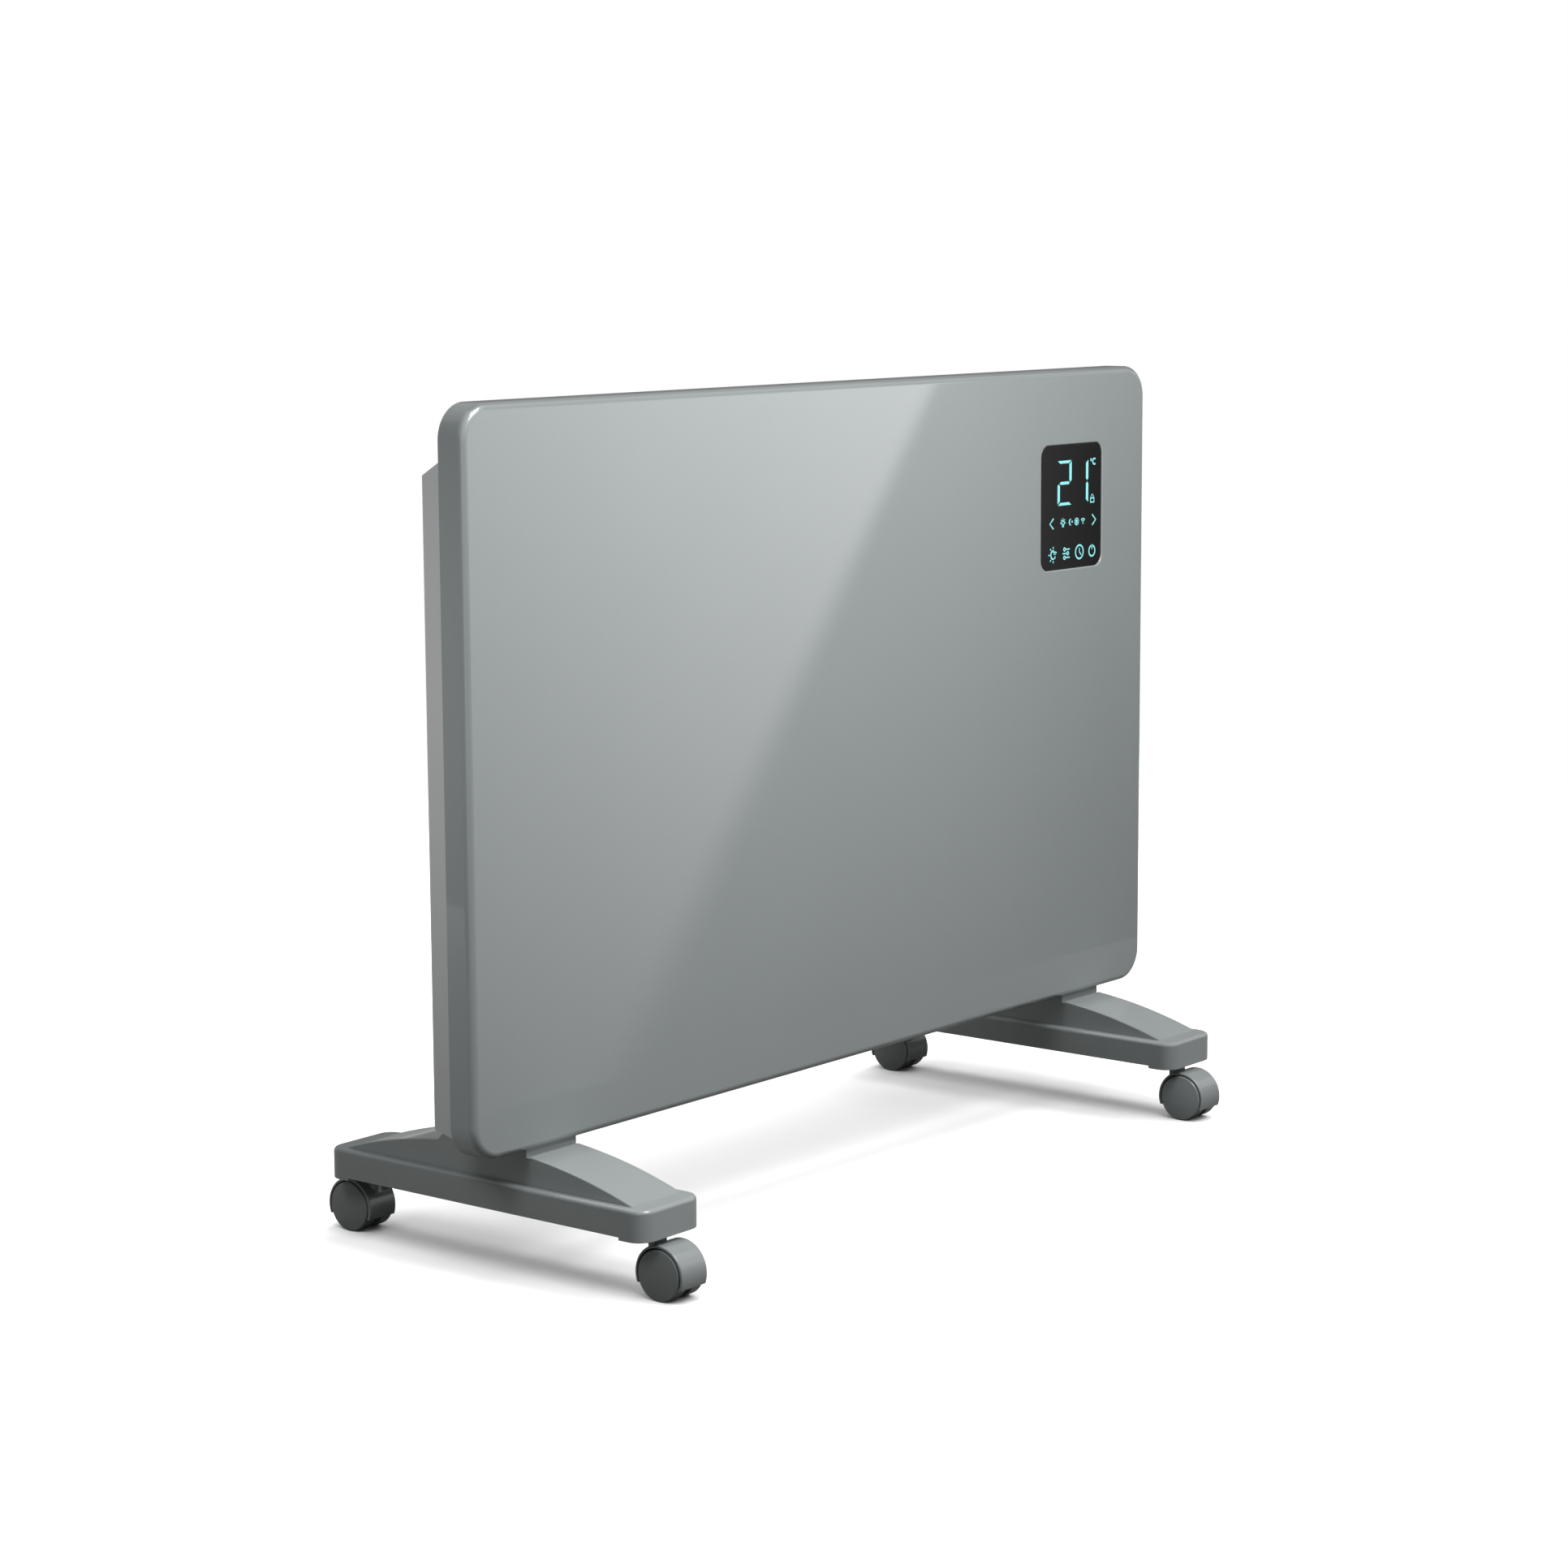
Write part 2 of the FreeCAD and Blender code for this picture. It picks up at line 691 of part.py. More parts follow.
# Mains rocker switch in the housing's right side
switch_y = (shell_back + housing_wall + housing_back) / 2
switch_z = housing_floor + switch_height_above
pivot_x = housing_half_width - rocker_pivot_depth


def switch_opening():
    return block(housing_half_width - 2 * housing_wall, housing_half_width + housing_wall,
                 switch_y - switch_cutout_width / 2, switch_y + switch_cutout_width / 2,
                 switch_z - switch_cutout_height / 2, switch_z + switch_cutout_height / 2)


def mains_switch_body():
    half_width = switch_cutout_width / 2 - switch_cutout_gap
    half_height = switch_cutout_height / 2 - switch_cutout_gap
    side = housing_half_width
    body = block(side - switch_depth, side, switch_y - half_width, switch_y + half_width,
                 switch_z - half_height, switch_z + half_height)
    flange_y = switch_cutout_width / 2 + switch_flange_margin
    flange_z = switch_cutout_height / 2 + switch_flange_margin
    flange = block(side, side + switch_flange, switch_y - flange_y, switch_y + flange_y,
                   switch_z - flange_z, switch_z + flange_z)
    pocket_y = rocker_width / 2 + rocker_gap
    pocket = bar(rocker_radius + rocker_gap, vec(pivot_x, switch_y - pocket_y, switch_z),
                 vec(pivot_x, switch_y + pocket_y, switch_z))
    pin_y = rocker_width / 2 + rocker_pin_length + rocker_gap
    pin_bore = bar(rocker_pin_radius + running_gap, vec(pivot_x, switch_y - pin_y, switch_z),
                   vec(pivot_x, switch_y + pin_y, switch_z))
    return body.fuse(flange).cut([pocket, pin_bore])


def mains_switch_rocker():
    """Rocker with a shallow V across its face, pressed at its lower half."""
    half = rocker_width / 2
    drum = bar(rocker_radius, vec(pivot_x, switch_y - half, switch_z), vec(pivot_x, switch_y + half, switch_z))
    rise = rocker_radius * math.tan(math.radians(rocker_tilt))
    far = pivot_x + 3 * rocker_radius
    valley = pivot_x + rocker_valley
    above = [
        (valley, switch_z),
        (valley + rise, switch_z + rocker_radius),
        (far, switch_z + rocker_radius),
        (far, switch_z - rocker_radius),
        (valley + rise, switch_z - rocker_radius),
    ]
    drum = drum.cut(prism_y(above, switch_y - rocker_width, switch_y + rocker_width))
    reach = half + rocker_pin_length
    pin = bar(rocker_pin_radius, vec(pivot_x, switch_y - reach, switch_z), vec(pivot_x, switch_y + reach, switch_z))
    rocker = drum.fuse(pin)
    rocker.rotate(vec(pivot_x, switch_y, switch_z), vec(0, 1, 0), rocker_tilt)
    return rocker


def gland_z():
    return housing_floor + gland_height_above


def cord_gland():
    """Flanged bush in the back wall through which the mains cord leaves."""
    inner = -gland_length
    outline = [
        (inner, gland_bore_radius),
        (inner, gland_hole_radius - press_gap),
        (0, gland_hole_radius - press_gap),
        (0, gland_flange_radius),
        (gland_flange, gland_flange_radius),
        (gland_flange, gland_bore_radius),
    ]
    return turned(outline, vec(gland_x, housing_back, gland_z()), vec(0, 1, 0), vec(1, 0, 0))


# ------------------------------------------------------------------ feet
arch_half_length = foot_length / 2 - arch_end_inset
arch_radius = (arch_half_length ** 2 + arch_rise ** 2) / (2 * arch_rise)
arch_centre_z = arch_crown - arch_radius


def foot_screw_places(side):
    """Places of one foot's two screws, as (x, y)."""
    y = (shell_back + housing_wall + housing_back) / 2
    half = foot_screw_spacing / 2
    return [(side * foot_x - half, y), (side * foot_x + half, y)]


def arch_surface_z(y, inward=0.0):
    """Height of the arch's round top at y, moved inward by a wall."""
    return arch_centre_z + math.sqrt((arch_radius - inward) ** 2 - y ** 2)


def arch_body(inward):
    """Arch from side to side, moved inward by a wall, down to the foot's underside."""
    half = arch_width / 2 - inward
    reach = arch_half_length - inward
    rear, front = vec(-half, reach, foot_underside), vec(-half, -reach, foot_underside)
    rear_top = vec(-half, reach, arch_surface_z(reach, inward))
    front_top = vec(-half, -reach, arch_surface_z(reach, inward))
    crown = vec(-half, 0, arch_surface_z(0, inward))
    edges = Part.makePolygon([rear_top, rear, front, front_top]).Edges
    edges.append(Part.Arc(front_top, crown, rear_top).toShape())
    return Part.Face(Part.Wire(edges)).extrude(vec(2 * half, 0, 0))


def foot_body():
    """Outside of a foot, centred on x = 0: rim, lowered pads, arch and neck."""
    half_width, half_length = foot_width / 2, foot_length / 2
    rim = block(-half_width, half_width, -half_length, half_length, pad_underside, rim_top)
    rim = round_edges(rim, foot_corner_radius, runs_along(vec(0, 0, 1)))
    rim = bevel_edges(rim, rim_edge_bevel, lambda edge: edge.BoundBox.ZMin > rim_top - 0.01)
    lifted = half_length - pad_length
    rim = rim.cut(block(-foot_width, foot_width, -lifted, lifted, pad_underside - overrun, foot_underside))
    arch = arch_body(0)
    arch = bevel_edges(arch, arch_edge_bevel, lambda edge: edge.BoundBox.ZMax > arch_crown - 0.01
                       and edge.BoundBox.YLength > arch_half_length)
    half_neck, half_arch = neck_length / 2, arch_width / 2
    neck_outline = [
        (-half_neck, foot_underside + foot_wall),
        (-half_neck, neck_top),
        (half_neck, neck_top),
        (half_neck + neck_rear_slope, arch_crown - neck_rear_drop),
        (half_neck + neck_rear_slope, foot_underside + foot_wall),
    ]
    neck = prism_x(neck_outline, -half_arch, half_arch)
    groove = block(-foot_width, foot_width, -half_neck - neck_groove, -half_neck,
                   arch_surface_z(half_neck) - neck_groove_depth, neck_top + overrun)
    return fuse_all([rim, arch.cut(groove), neck])


def foot_hollow():
    """Space inside a foot, open below."""
    half_width = foot_width / 2 - foot_wall
    half_length = foot_length / 2 - pad_length - pad_wall
    low = block(-half_width, half_width, -half_length, half_length, pad_underside, rim_top - foot_wall)
    arch = arch_body(foot_wall).common(block(-foot_width, foot_width, -half_length, half_length,
                                             pad_underside, neck_top))
    half_neck, half_arch = neck_length / 2 - foot_wall, arch_width / 2 - foot_wall
    neck = block(-half_arch, half_arch, -half_neck, half_neck, foot_underside, neck_top - foot_wall)
    return fuse_all([low, arch, neck])


def foot_ribs():
    """Cross ribs, a lengthwise rib and two screw bosses, as tall as the foot."""
    low = foot_underside + rib_recess
    half = rib_thickness / 2
    ribs = [block(-half, half, -foot_length / 2, foot_length / 2, low, neck_top)]
    count = int((foot_length / 2 - pad_length - pad_wall) / rib_pitch)
    for index in range(-count, count + 1):
        y = index * rib_pitch
        ribs.append(block(-foot_width / 2, foot_width / 2, y - half, y + half, low, neck_top))
    return ribs


def foot(side):
    hollow = foot_hollow()
    body = foot_body().cut(hollow)
    boss_half = foot_screw_hole_radius + foot_screw_boss_wall
    boss_low = neck_top - foot_screw_boss_depth
    places = [(x - side * foot_x, y) for x, y in foot_screw_places(side)]
    driver_space = [block(x - boss_half, x + boss_half, y - boss_half, y + boss_half,
                          pad_underside, boss_low) for x, y in places]
    ribs = [rib.common(hollow).cut(driver_space) for rib in foot_ribs()]
    for x, y in places:
        ribs.append(block(x - boss_half, x + boss_half, y - boss_half, y + boss_half,
                          boss_low, neck_top).common(hollow))
    riser_front, riser_back = shell_back + housing_wall + seat_gap, housing_back - seat_gap
    riser_outline = [
        (riser_front, neck_top - foot_wall),
        (riser_back, neck_top - foot_wall),
        (riser_back, housing_bottom_z(riser_back)),
        (riser_front, housing_bottom_z(riser_front)),
    ]
    riser = prism_x(riser_outline, -riser_width / 2, riser_width / 2)
    tools = [bar(foot_screw_hole_radius, vec(x, y, boss_low - overrun), vec(x, y, housing_floor))
             for x, y in places]
    socket_top = pad_underside + stem_reach + stem_end_space
    for y in (-stem_y, stem_y):
        tools.append(bar(stem_radius + running_gap, vec(0, y, pad_underside - overrun), vec(0, y, socket_top)))
    body = fuse_all([body] + ribs + [riser]).cut(tools)
    body.translate(vec(side * foot_x, 0, 0))
    return body


def foot_nut_plate(side):
    """Threaded plate on the housing's floor above each foot."""
    front = shell_back + housing_wall + seat_gap
    back = housing_inside - housing_edge_radius
    x = side * foot_x
    outline = [
        (front, housing_bottom_z(front, housing_wall)),
        (back, housing_bottom_z(back, housing_wall)),
        (back, housing_bottom_z(back, housing_wall + nut_plate_thickness)),
        (front, housing_bottom_z(front, housing_wall + nut_plate_thickness)),
    ]
    half = riser_width / 2 - nut_plate_margin
    holes = [bar(nut_plate_hole_radius, vec(hole_x, y, neck_top), vec(hole_x, y, element_z))
             for hole_x, y in foot_screw_places(side)]
    return prism_x(outline, x - half, x + half).cut(holes)


# ------------------------------------------------------------------ castors
def castor_hood(x, end):
    """Round hood over both wheels, with its middle web and the boss for the stem."""
    stem = vec(x, end * stem_y, 0)
    axle = vec(x, end * (stem_y + castor_trail), axle_z)
    across = vec(1, 0, 0)
    half_web = hood_web / 2
    drum = Part.makeCylinder(hood_radius, 2 * hood_half_width, axle - across * hood_half_width, across)
    boss = bar(boss_radius, stem + vec(0, 0, axle_z), stem + vec(0, 0, boss_top))
    well = wheel_radius + hood_gap
    tools = [Part.makeCylinder(well, hood_half_width, axle + across * half_web, across),
             Part.makeCylinder(well, hood_half_width, axle - across * half_web, across * -1)]
    low = axle_z - hood_skirt
    tools.append(block(x - hood_radius, x + hood_radius, axle.y - 2 * hood_radius,
                       axle.y + 2 * hood_radius, low - hood_radius, low))
    tools.append(bar(axle_radius + press_gap, axle - across * hood_web, axle + across * hood_web))
    tools.append(bar(stem_radius + press_gap, stem + vec(0, 0, boss_top - stem_grip),
                     stem + vec(0, 0, boss_top + overrun)))
    return drum.fuse(boss).cut(tools)


def castor_wheel(x, end, side):
    """Wheel with a blind bore for the axle in its inner side."""
    across = vec(side, 0, 0)
    axle = vec(x, end * (stem_y + castor_trail), axle_z)
    disc = bar(wheel_radius, axle + across * wheel_inner_face, axle + across * wheel_outer_face)
    return disc.cut(bar(axle_radius + running_gap, axle, axle + across * (axle_half_length + axle_end_space)))


def castor_axle(x, end):
    middle = vec(x, end * (stem_y + castor_trail), axle_z)
    reach = vec(axle_half_length, 0, 0)
    return bar(axle_radius, middle - reach, middle + reach)


def castor_stem(x, end):
    """Upright pin, held in the boss, that turns in the foot's socket."""
    foot_point = vec(x, end * stem_y, 0)
    return bar(stem_radius, foot_point + vec(0, 0, boss_top - stem_grip),
               foot_point + vec(0, 0, pad_underside + stem_reach))


# ------------------------------------------------------------------ write the pieces
save(front_shell(), "front_shell")
save(rear_housing(), "rear_housing")
save(display_window(), "display_window")
save(display_carrier(), "display_carrier")
save(light_guide(), "light_guide")
save(display_board(), "display_board")
save(heating_element(), "heating_element")
save(heating_rod(), "heating_rod")
save(heat_baffle(), "heat_baffle")
save(thermal_cutout(), "thermal_cutout")
save(power_board_box(), "power_board_box")
save(power_board(), "power_board")
save(terminal_block(), "terminal_block")
save(tip_over_switch(), "tip_over_switch")
save(room_sensor(), "room_sensor")
save(mains_switch_body(), "mains_switch_body")
save(mains_switch_rocker(), "mains_switch_rocker")
save(cord_gland(), "cord_gland")

for side, side_name in ((-1, "left"), (1, "right")):
    save(element_insulator(side), "element_insulator_" + side_name)
    save(element_bracket(side), "element_bracket_" + side_name)
    save(foot(side), "foot_" + side_name)
    save(foot_nut_plate(side), "foot_nut_plate_" + side_name)
    for end, end_name in ((-1, "front"), (1, "rear")):
        castor = "castor_" + end_name + "_" + side_name
        castor_x = side * foot_x
        save(castor_stem(castor_x, end), castor + "_stem")
        save(castor_hood(castor_x, end), castor + "_hood")
        save(castor_axle(castor_x, end), castor + "_axle")
        save(castor_wheel(castor_x, end, -1), castor + "_wheel_left")
        save(castor_wheel(castor_x, end, 1), castor + "_wheel_right")
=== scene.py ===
import json
import math

import bmesh
import bpy
from mathutils import Matrix, Vector


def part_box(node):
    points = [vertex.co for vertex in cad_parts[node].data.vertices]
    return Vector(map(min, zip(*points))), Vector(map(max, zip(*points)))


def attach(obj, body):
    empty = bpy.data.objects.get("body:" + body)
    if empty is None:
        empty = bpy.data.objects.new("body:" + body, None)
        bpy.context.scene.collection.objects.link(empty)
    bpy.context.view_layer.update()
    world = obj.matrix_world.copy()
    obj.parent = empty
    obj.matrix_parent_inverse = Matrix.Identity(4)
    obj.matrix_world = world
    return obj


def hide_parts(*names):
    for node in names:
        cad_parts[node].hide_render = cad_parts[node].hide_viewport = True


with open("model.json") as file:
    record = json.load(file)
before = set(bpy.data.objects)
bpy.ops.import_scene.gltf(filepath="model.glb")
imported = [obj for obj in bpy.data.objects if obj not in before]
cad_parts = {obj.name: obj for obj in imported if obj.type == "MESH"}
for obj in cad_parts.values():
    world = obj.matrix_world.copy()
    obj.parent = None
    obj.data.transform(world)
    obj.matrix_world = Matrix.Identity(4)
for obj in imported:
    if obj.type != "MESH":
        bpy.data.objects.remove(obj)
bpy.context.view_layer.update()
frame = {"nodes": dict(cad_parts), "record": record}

MM = 0.001
RECORD = frame["record"]


# ------------------------------------------------------------------ selecting and shaping
def deselect():
    bpy.ops.object.select_all(action="DESELECT")


def activate(piece):
    deselect()
    piece.select_set(True)
    bpy.context.view_layer.objects.active = piece


def settle(piece):
    """Put the piece's place, turn and size into its mesh."""
    activate(piece)
    bpy.ops.object.transform_apply(location=True, rotation=True, scale=True)
    return piece


def named(name):
    piece = bpy.context.active_object
    piece.name = name
    piece.data.name = name
    return piece


def add_block(name, low, high):
    """Block between two corners, in millimetres."""
    deselect()
    low, high = Vector(low) * MM, Vector(high) * MM
    bpy.ops.mesh.primitive_cube_add(size=1, location=(low + high) / 2, scale=high - low)
    return settle(named(name))


def add_drum(name, radius, start, end, sides=96):
    """Round bar between two points, in millimetres."""
    deselect()
    start, end = Vector(start) * MM, Vector(end) * MM
    axis = end - start
    turn = axis.to_track_quat("Z", "Y").to_euler()
    bpy.ops.mesh.primitive_cylinder_add(vertices=sides, radius=radius * MM, depth=axis.length,
                                        location=(start + end) / 2, rotation=turn)
    return settle(named(name))


class Editing:
    """Edit mode on one piece, with nothing selected at the start."""

    def __init__(self, piece):
        self.piece = piece

    def __enter__(self):
        activate(self.piece)
        bpy.ops.object.mode_set(mode="EDIT")
        bpy.ops.mesh.select_all(action="DESELECT")
        return self

    def __exit__(self, *trouble):
        bpy.ops.object.mode_set(mode="OBJECT")

    def pick(self, kind, test):
        """Select only the faces or edges for which test is true, in millimetres."""
        bpy.ops.mesh.select_all(action="DESELECT")
        bpy.ops.mesh.select_mode(type="FACE" if kind == "faces" else "EDGE")
        mesh = bmesh.from_edit_mesh(self.piece.data)
        count = 0
        for item in getattr(mesh, kind):
            points = [corner.co / MM for corner in item.verts]
            if test(item, points):
                item.select_set(True)
                count += 1
        bmesh.update_edit_mesh(self.piece.data)
        return count

    def bevel(self, size, segments=4):
        bpy.ops.mesh.bevel(offset=size * MM, offset_type="OFFSET", segments=segments, profile=0.5,
                           affect="EDGES", clamp_overlap=False)

    def inset(self, size):
        bpy.ops.mesh.inset(thickness=size * MM, depth=0, use_even_offset=True)

    def pull(self, x, y, z):
        bpy.ops.mesh.extrude_region_move(TRANSFORM_OT_translate={"value": (x * MM, y * MM, z * MM)})

    def slice_off(self, point, normal, outer):
        """Cut by a plane, close the cut, and drop the side the normal points to when outer is true."""
        bpy.ops.mesh.select_all(action="SELECT")
        bpy.ops.mesh.bisect(plane_co=Vector(point) * MM, plane_no=normal, use_fill=True,
                            clear_outer=outer, clear_inner=not outer)


def along(points, axis):
    """Length of a two-point edge along one axis, if it runs along it."""
    span = points[1] - points[0]
    return abs(span[axis]) > 0.999 * span.length


def all_at(points, axis, value, slack=0.02):
    return all(abs(point[axis] - value) < slack for point in points)


def change(piece, kind, **settings):
    """Add a modifier with its settings, and apply it."""
    activate(piece)
    modifier = piece.modifiers.new(kind.lower(), kind)
    for key, value in settings.items():
        setattr(modifier, key, value)
    bpy.ops.object.modifier_apply(modifier=modifier.name)
    return piece


def combine(piece, other, operation):
    """Cut or fuse with another piece, which is used up."""
    change(piece, "BOOLEAN", object=other, operation=operation, solver="EXACT")
    bpy.data.objects.remove(other, do_unlink=True)
    return piece


def cut(piece, *tools):
    for tool in tools:
        combine(piece, tool, "DIFFERENCE")
    return piece


def fuse(piece, *others):
    for other in others:
        combine(piece, other, "UNION")
    return piece


def join(name, pieces):
    """One object from several, each with its own shell."""
    activate(pieces[0])
    for piece in pieces:
        piece.select_set(True)
    if len(pieces) > 1:
        bpy.ops.object.join()
    return named(name)


def soften(piece, angle=35.0):
    """Smooth shading that keeps the creases sharp and the flats flat."""
    activate(piece)
    bpy.ops.object.shade_smooth_by_angle(angle=math.radians(angle))
    change(piece, "WEIGHTED_NORMAL", keep_sharp=True, weight=80)
    return piece


def copy_of(piece, name, place=Matrix.Identity(4)):
    """A copy with its own mesh, put in place."""
    twin = piece.copy()
    twin.data = piece.data.copy()
    twin.name = name
    twin.data.name = name
    bpy.context.collection.objects.link(twin)
    twin.data.transform(place)
    return twin


# ------------------------------------------------------------------ finishes
class Value:
    """A number or colour inside a finish, for sums written as Python expressions."""

    def __init__(self, finish, socket):
        self.finish = finish
        self.socket = socket

    def sum(self, operation, first, second):
        return self.finish.node("ShaderNodeMath", {"operation": operation}, {0: first, 1: second})

    def __add__(self, other):
        return self.sum("ADD", self, other)

    def __radd__(self, other):
        return self.sum("ADD", other, self)

    def __sub__(self, other):
        return self.sum("SUBTRACT", self, other)

    def __rsub__(self, other):
        return self.sum("SUBTRACT", other, self)

    def __mul__(self, other):
        return self.sum("MULTIPLY", self, other)

    def __rmul__(self, other):
        return self.sum("MULTIPLY", other, self)

    def __truediv__(self, other):
        return self.sum("DIVIDE", self, other)

    def __rtruediv__(self, other):
        return self.sum("DIVIDE", other, self)

    def __pow__(self, other):
        return self.sum("POWER", self, other)


def linear(red, green, blue):
    """Display colour, 0 to 255, as the linear values that a shader takes."""
    def one(value):
        value /= 255
        return value / 12.92 if value <= 0.04045 else ((value + 0.055) / 1.055) ** 2.4
    return (one(red), one(green), one(blue), 1.0)


class Finish:
    """One material, with a principled shader and the nodes that feed it."""

    def __init__(self, name, **sockets):
        self.material = bpy.data.materials.new(name)
        self.material.use_nodes = True
        self.tree = self.material.node_tree
        self.shader = self.tree.nodes["Principled BSDF"]
        self.place = self.node("ShaderNodeTexCoord", output="Object")
        self.set(**sockets)

    def connect(self, socket, value):
        if isinstance(value, Value):
            self.tree.links.new(value.socket, socket)
        else:
            socket.default_value = value

    def node(self, kind, settings=None, inputs=None, output=0, stops=None):
        made = self.tree.nodes.new(kind)
        for key, value in (settings or {}).items():
            setattr(made, key, value)
        if stops:
            ramp = made.color_ramp
            while len(ramp.elements) < len(stops):
                ramp.elements.new(1.0)
            for element, (position, colour) in zip(ramp.elements, stops):
                element.position = position
                element.color = colour
        for key, value in (inputs or {}).items():
            self.connect(made.inputs[key], value)
        return Value(self, made.outputs[output])

    def set(self, **sockets):
        for key, value in sockets.items():
            self.connect(self.shader.inputs[key.replace("_", " ")], value)
        return self

    def stretched(self, x, y, z):
        """Object coordinates, scaled unevenly."""
        return self.node("ShaderNodeMapping", {"vector_type": "POINT"},
                         {"Vector": self.place, "Scale": (x, y, z)})

    def noise(self, scale, detail=2.0, roughness=0.5, vector=None):
        return self.node("ShaderNodeTexNoise", {"noise_dimensions": "3D"},
                         {"Vector": vector or self.place, "Scale": scale, "Detail": detail,
                          "Roughness": roughness})

    def cells(self, scale, feature="F1", output="Distance", vector=None):
        return self.node("ShaderNodeTexVoronoi", {"feature": feature},
                         {"Vector": vector or self.place, "Scale": scale}, output=output)

    def between(self, low, high, value):
        """value, 0 to 1, spread between two numbers."""
        return value * (high - low) + low

    def blend(self, factor, first, second):
        made = self.tree.nodes.new("ShaderNodeMix")
        made.data_type = "RGBA"
        self.connect(made.inputs[0], factor)
        self.connect(made.inputs[6], first)
        self.connect(made.inputs[7], second)
        return Value(self, made.outputs[2])

    def bump(self, height, depth, strength=1.0):
        """Raise the surface by height, 0 to 1, times a depth in millimetres."""
        normal = self.node("ShaderNodeBump", None,
                           {"Strength": strength, "Distance": depth * MM, "Height": height})
        return self.set(Normal=normal)


def shades(finish, darker, lighter, scale, detail=3.0):
    """Base colour that drifts between two near shades."""
    drift = finish.noise(scale, detail)
    finish.set(Base_Color=finish.blend(drift, linear(*darker), linear(*lighter)))
    return drift


FOLD_SHADE_SPAN = (6.0, 3.8)       # height over which painted shade darkens the grey on the fold, from the top edge


def lacquer():
    """Gloss sprayed enamel: faint orange peel under a clear skin, and painted shade, a deeper grey, on the top fold."""
    finish = Finish("gloss_grey_lacquer", Coat_Weight=1.0, Coat_Roughness=0.035, Metallic=0.0)
    low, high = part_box("front_shell")
    y, z = (finish.node("ShaderNodeSeparateXYZ", None, {0: finish.place}, output=axis) for axis in (1, 2))
    # painted shade: masks for the band along the top fold, near the top edge and near the front face
    shade_near_top = finish.node("ShaderNodeMapRange", {"interpolation_type": "SMOOTHSTEP"},
                           {"Value": z, "From Min": high[2] - FOLD_SHADE_SPAN[0] * MM, "From Max": high[2] - FOLD_SHADE_SPAN[1] * MM})
    shade_near_face = finish.node("ShaderNodeMapRange", {"interpolation_type": "SMOOTHSTEP"},
                            {"Value": y, "From Min": low[1] + FOLD_SHADE_SPAN[1] * MM, "From Max": low[1] + FOLD_SHADE_SPAN[0] * MM,
                             "To Min": 1.0, "To Max": 0.0})
    enamel = finish.blend(finish.noise(9.0, 3.0), linear(145, 151, 151), linear(149, 155, 155))
    # the deeper grey (124, 129, 129) on the top fold is painted shade, not a change in the enamel
    finish.set(Base_Color=finish.blend(shade_near_top * shade_near_face, enamel, linear(124, 129, 129)))
    finish.set(Roughness=finish.between(0.36, 0.44, finish.noise(60.0, 4.0)))
    return finish.bump(finish.noise(420.0, 1.0), 0.012)


def housing_paint():
    """Satin powder coat with a fine grain."""
    finish = Finish("satin_grey_powder_coat", Coat_Weight=0.0)
    shades(finish, (186, 188, 187), (192, 194, 193), 14.0)
    finish.set(Roughness=finish.between(0.42, 0.56, finish.noise(220.0, 3.0)))
    return finish.bump(finish.noise(1400.0, 2.0), 0.03)


def moulded_grey(name, darker, lighter):
    """Glossy moulded plastic in the colour of the shell."""
    finish = Finish(name, Coat_Weight=0.6, Coat_Roughness=0.09)
    shades(finish, darker, lighter, 40.0)
    finish.set(Roughness=finish.between(0.30, 0.42, finish.noise(150.0, 3.0)))
    return finish.bump(finish.noise(900.0, 2.0), 0.015)


def dark_plastic():
    finish = Finish("dark_grained_plastic")
    shades(finish, (30, 31, 32), (38, 39, 40), 60.0)
    finish.set(Roughness=finish.between(0.45, 0.62, finish.noise(400.0, 3.0)))
    return finish.bump(finish.cells(1500.0), 0.03)


def pale_plastic():
    finish = Finish("pale_flame_proof_plastic")
    shades(finish, (214, 213, 205), (224, 223, 216), 50.0)
    finish.set(Roughness=finish.between(0.4, 0.55, finish.noise(300.0, 3.0)))
    return finish.bump(finish.noise(1100.0, 2.0), 0.02)


def ceramic():
    finish = Finish("steatite_ceramic")
    speckle = finish.cells(700.0) ** 3.0
    finish.set(Base_Color=finish.blend(speckle, linear(226, 219, 203), linear(196, 188, 170)),
               Roughness=finish.between(0.55, 0.75, finish.noise(500.0, 2.0)))
    return finish.bump(finish.noise(1300.0, 3.0), 0.04)


def circuit():
    finish = Finish("green_circuit_board", Coat_Weight=0.4)
    tracks = finish.node("ShaderNodeTexBrick", {"offset": 0.37, "squash": 1.0},
                         {"Vector": finish.node("ShaderNodeMapping", {"vector_type": "POINT"},
                                                {"Vector": finish.place, "Rotation": (math.pi / 2, 0, 0)}),
                          "Scale": 90.0, "Mortar Size": 0.02, "Color1": (0, 0, 0, 1), "Color2": (0, 0, 0, 1),
                          "Mortar": (1, 1, 1, 1)}, output="Fac")
    finish.set(Base_Color=finish.blend(tracks, linear(24, 84, 48), linear(70, 130, 74)),
               Roughness=finish.between(0.25, 0.4, finish.noise(200.0, 2.0)))
    return finish.bump(tracks, 0.03)


def extruded_aluminium():
    finish = Finish("extruded_aluminium", Metallic=1.0)
    lines = finish.noise(1.0, 4.0, 0.6, finish.stretched(12.0, 2600.0, 2600.0))
    finish.set(Base_Color=finish.blend(lines, linear(196, 197, 199), linear(216, 217, 219)),
               Roughness=finish.between(0.28, 0.42, lines))
    return finish.bump(lines, 0.01)


def zinc_steel():
    finish = Finish("zinc_plated_steel", Metallic=1.0)
    spangle = finish.cells(180.0, output="Color")
    tone = finish.node("ShaderNodeSeparateColor", None, {0: spangle}, output=0)
    finish.set(Base_Color=finish.blend(tone, linear(182, 183, 182), linear(204, 205, 203)),
               Roughness=finish.between(0.25, 0.4, tone))
    return finish.bump(finish.noise(800.0, 3.0), 0.008)


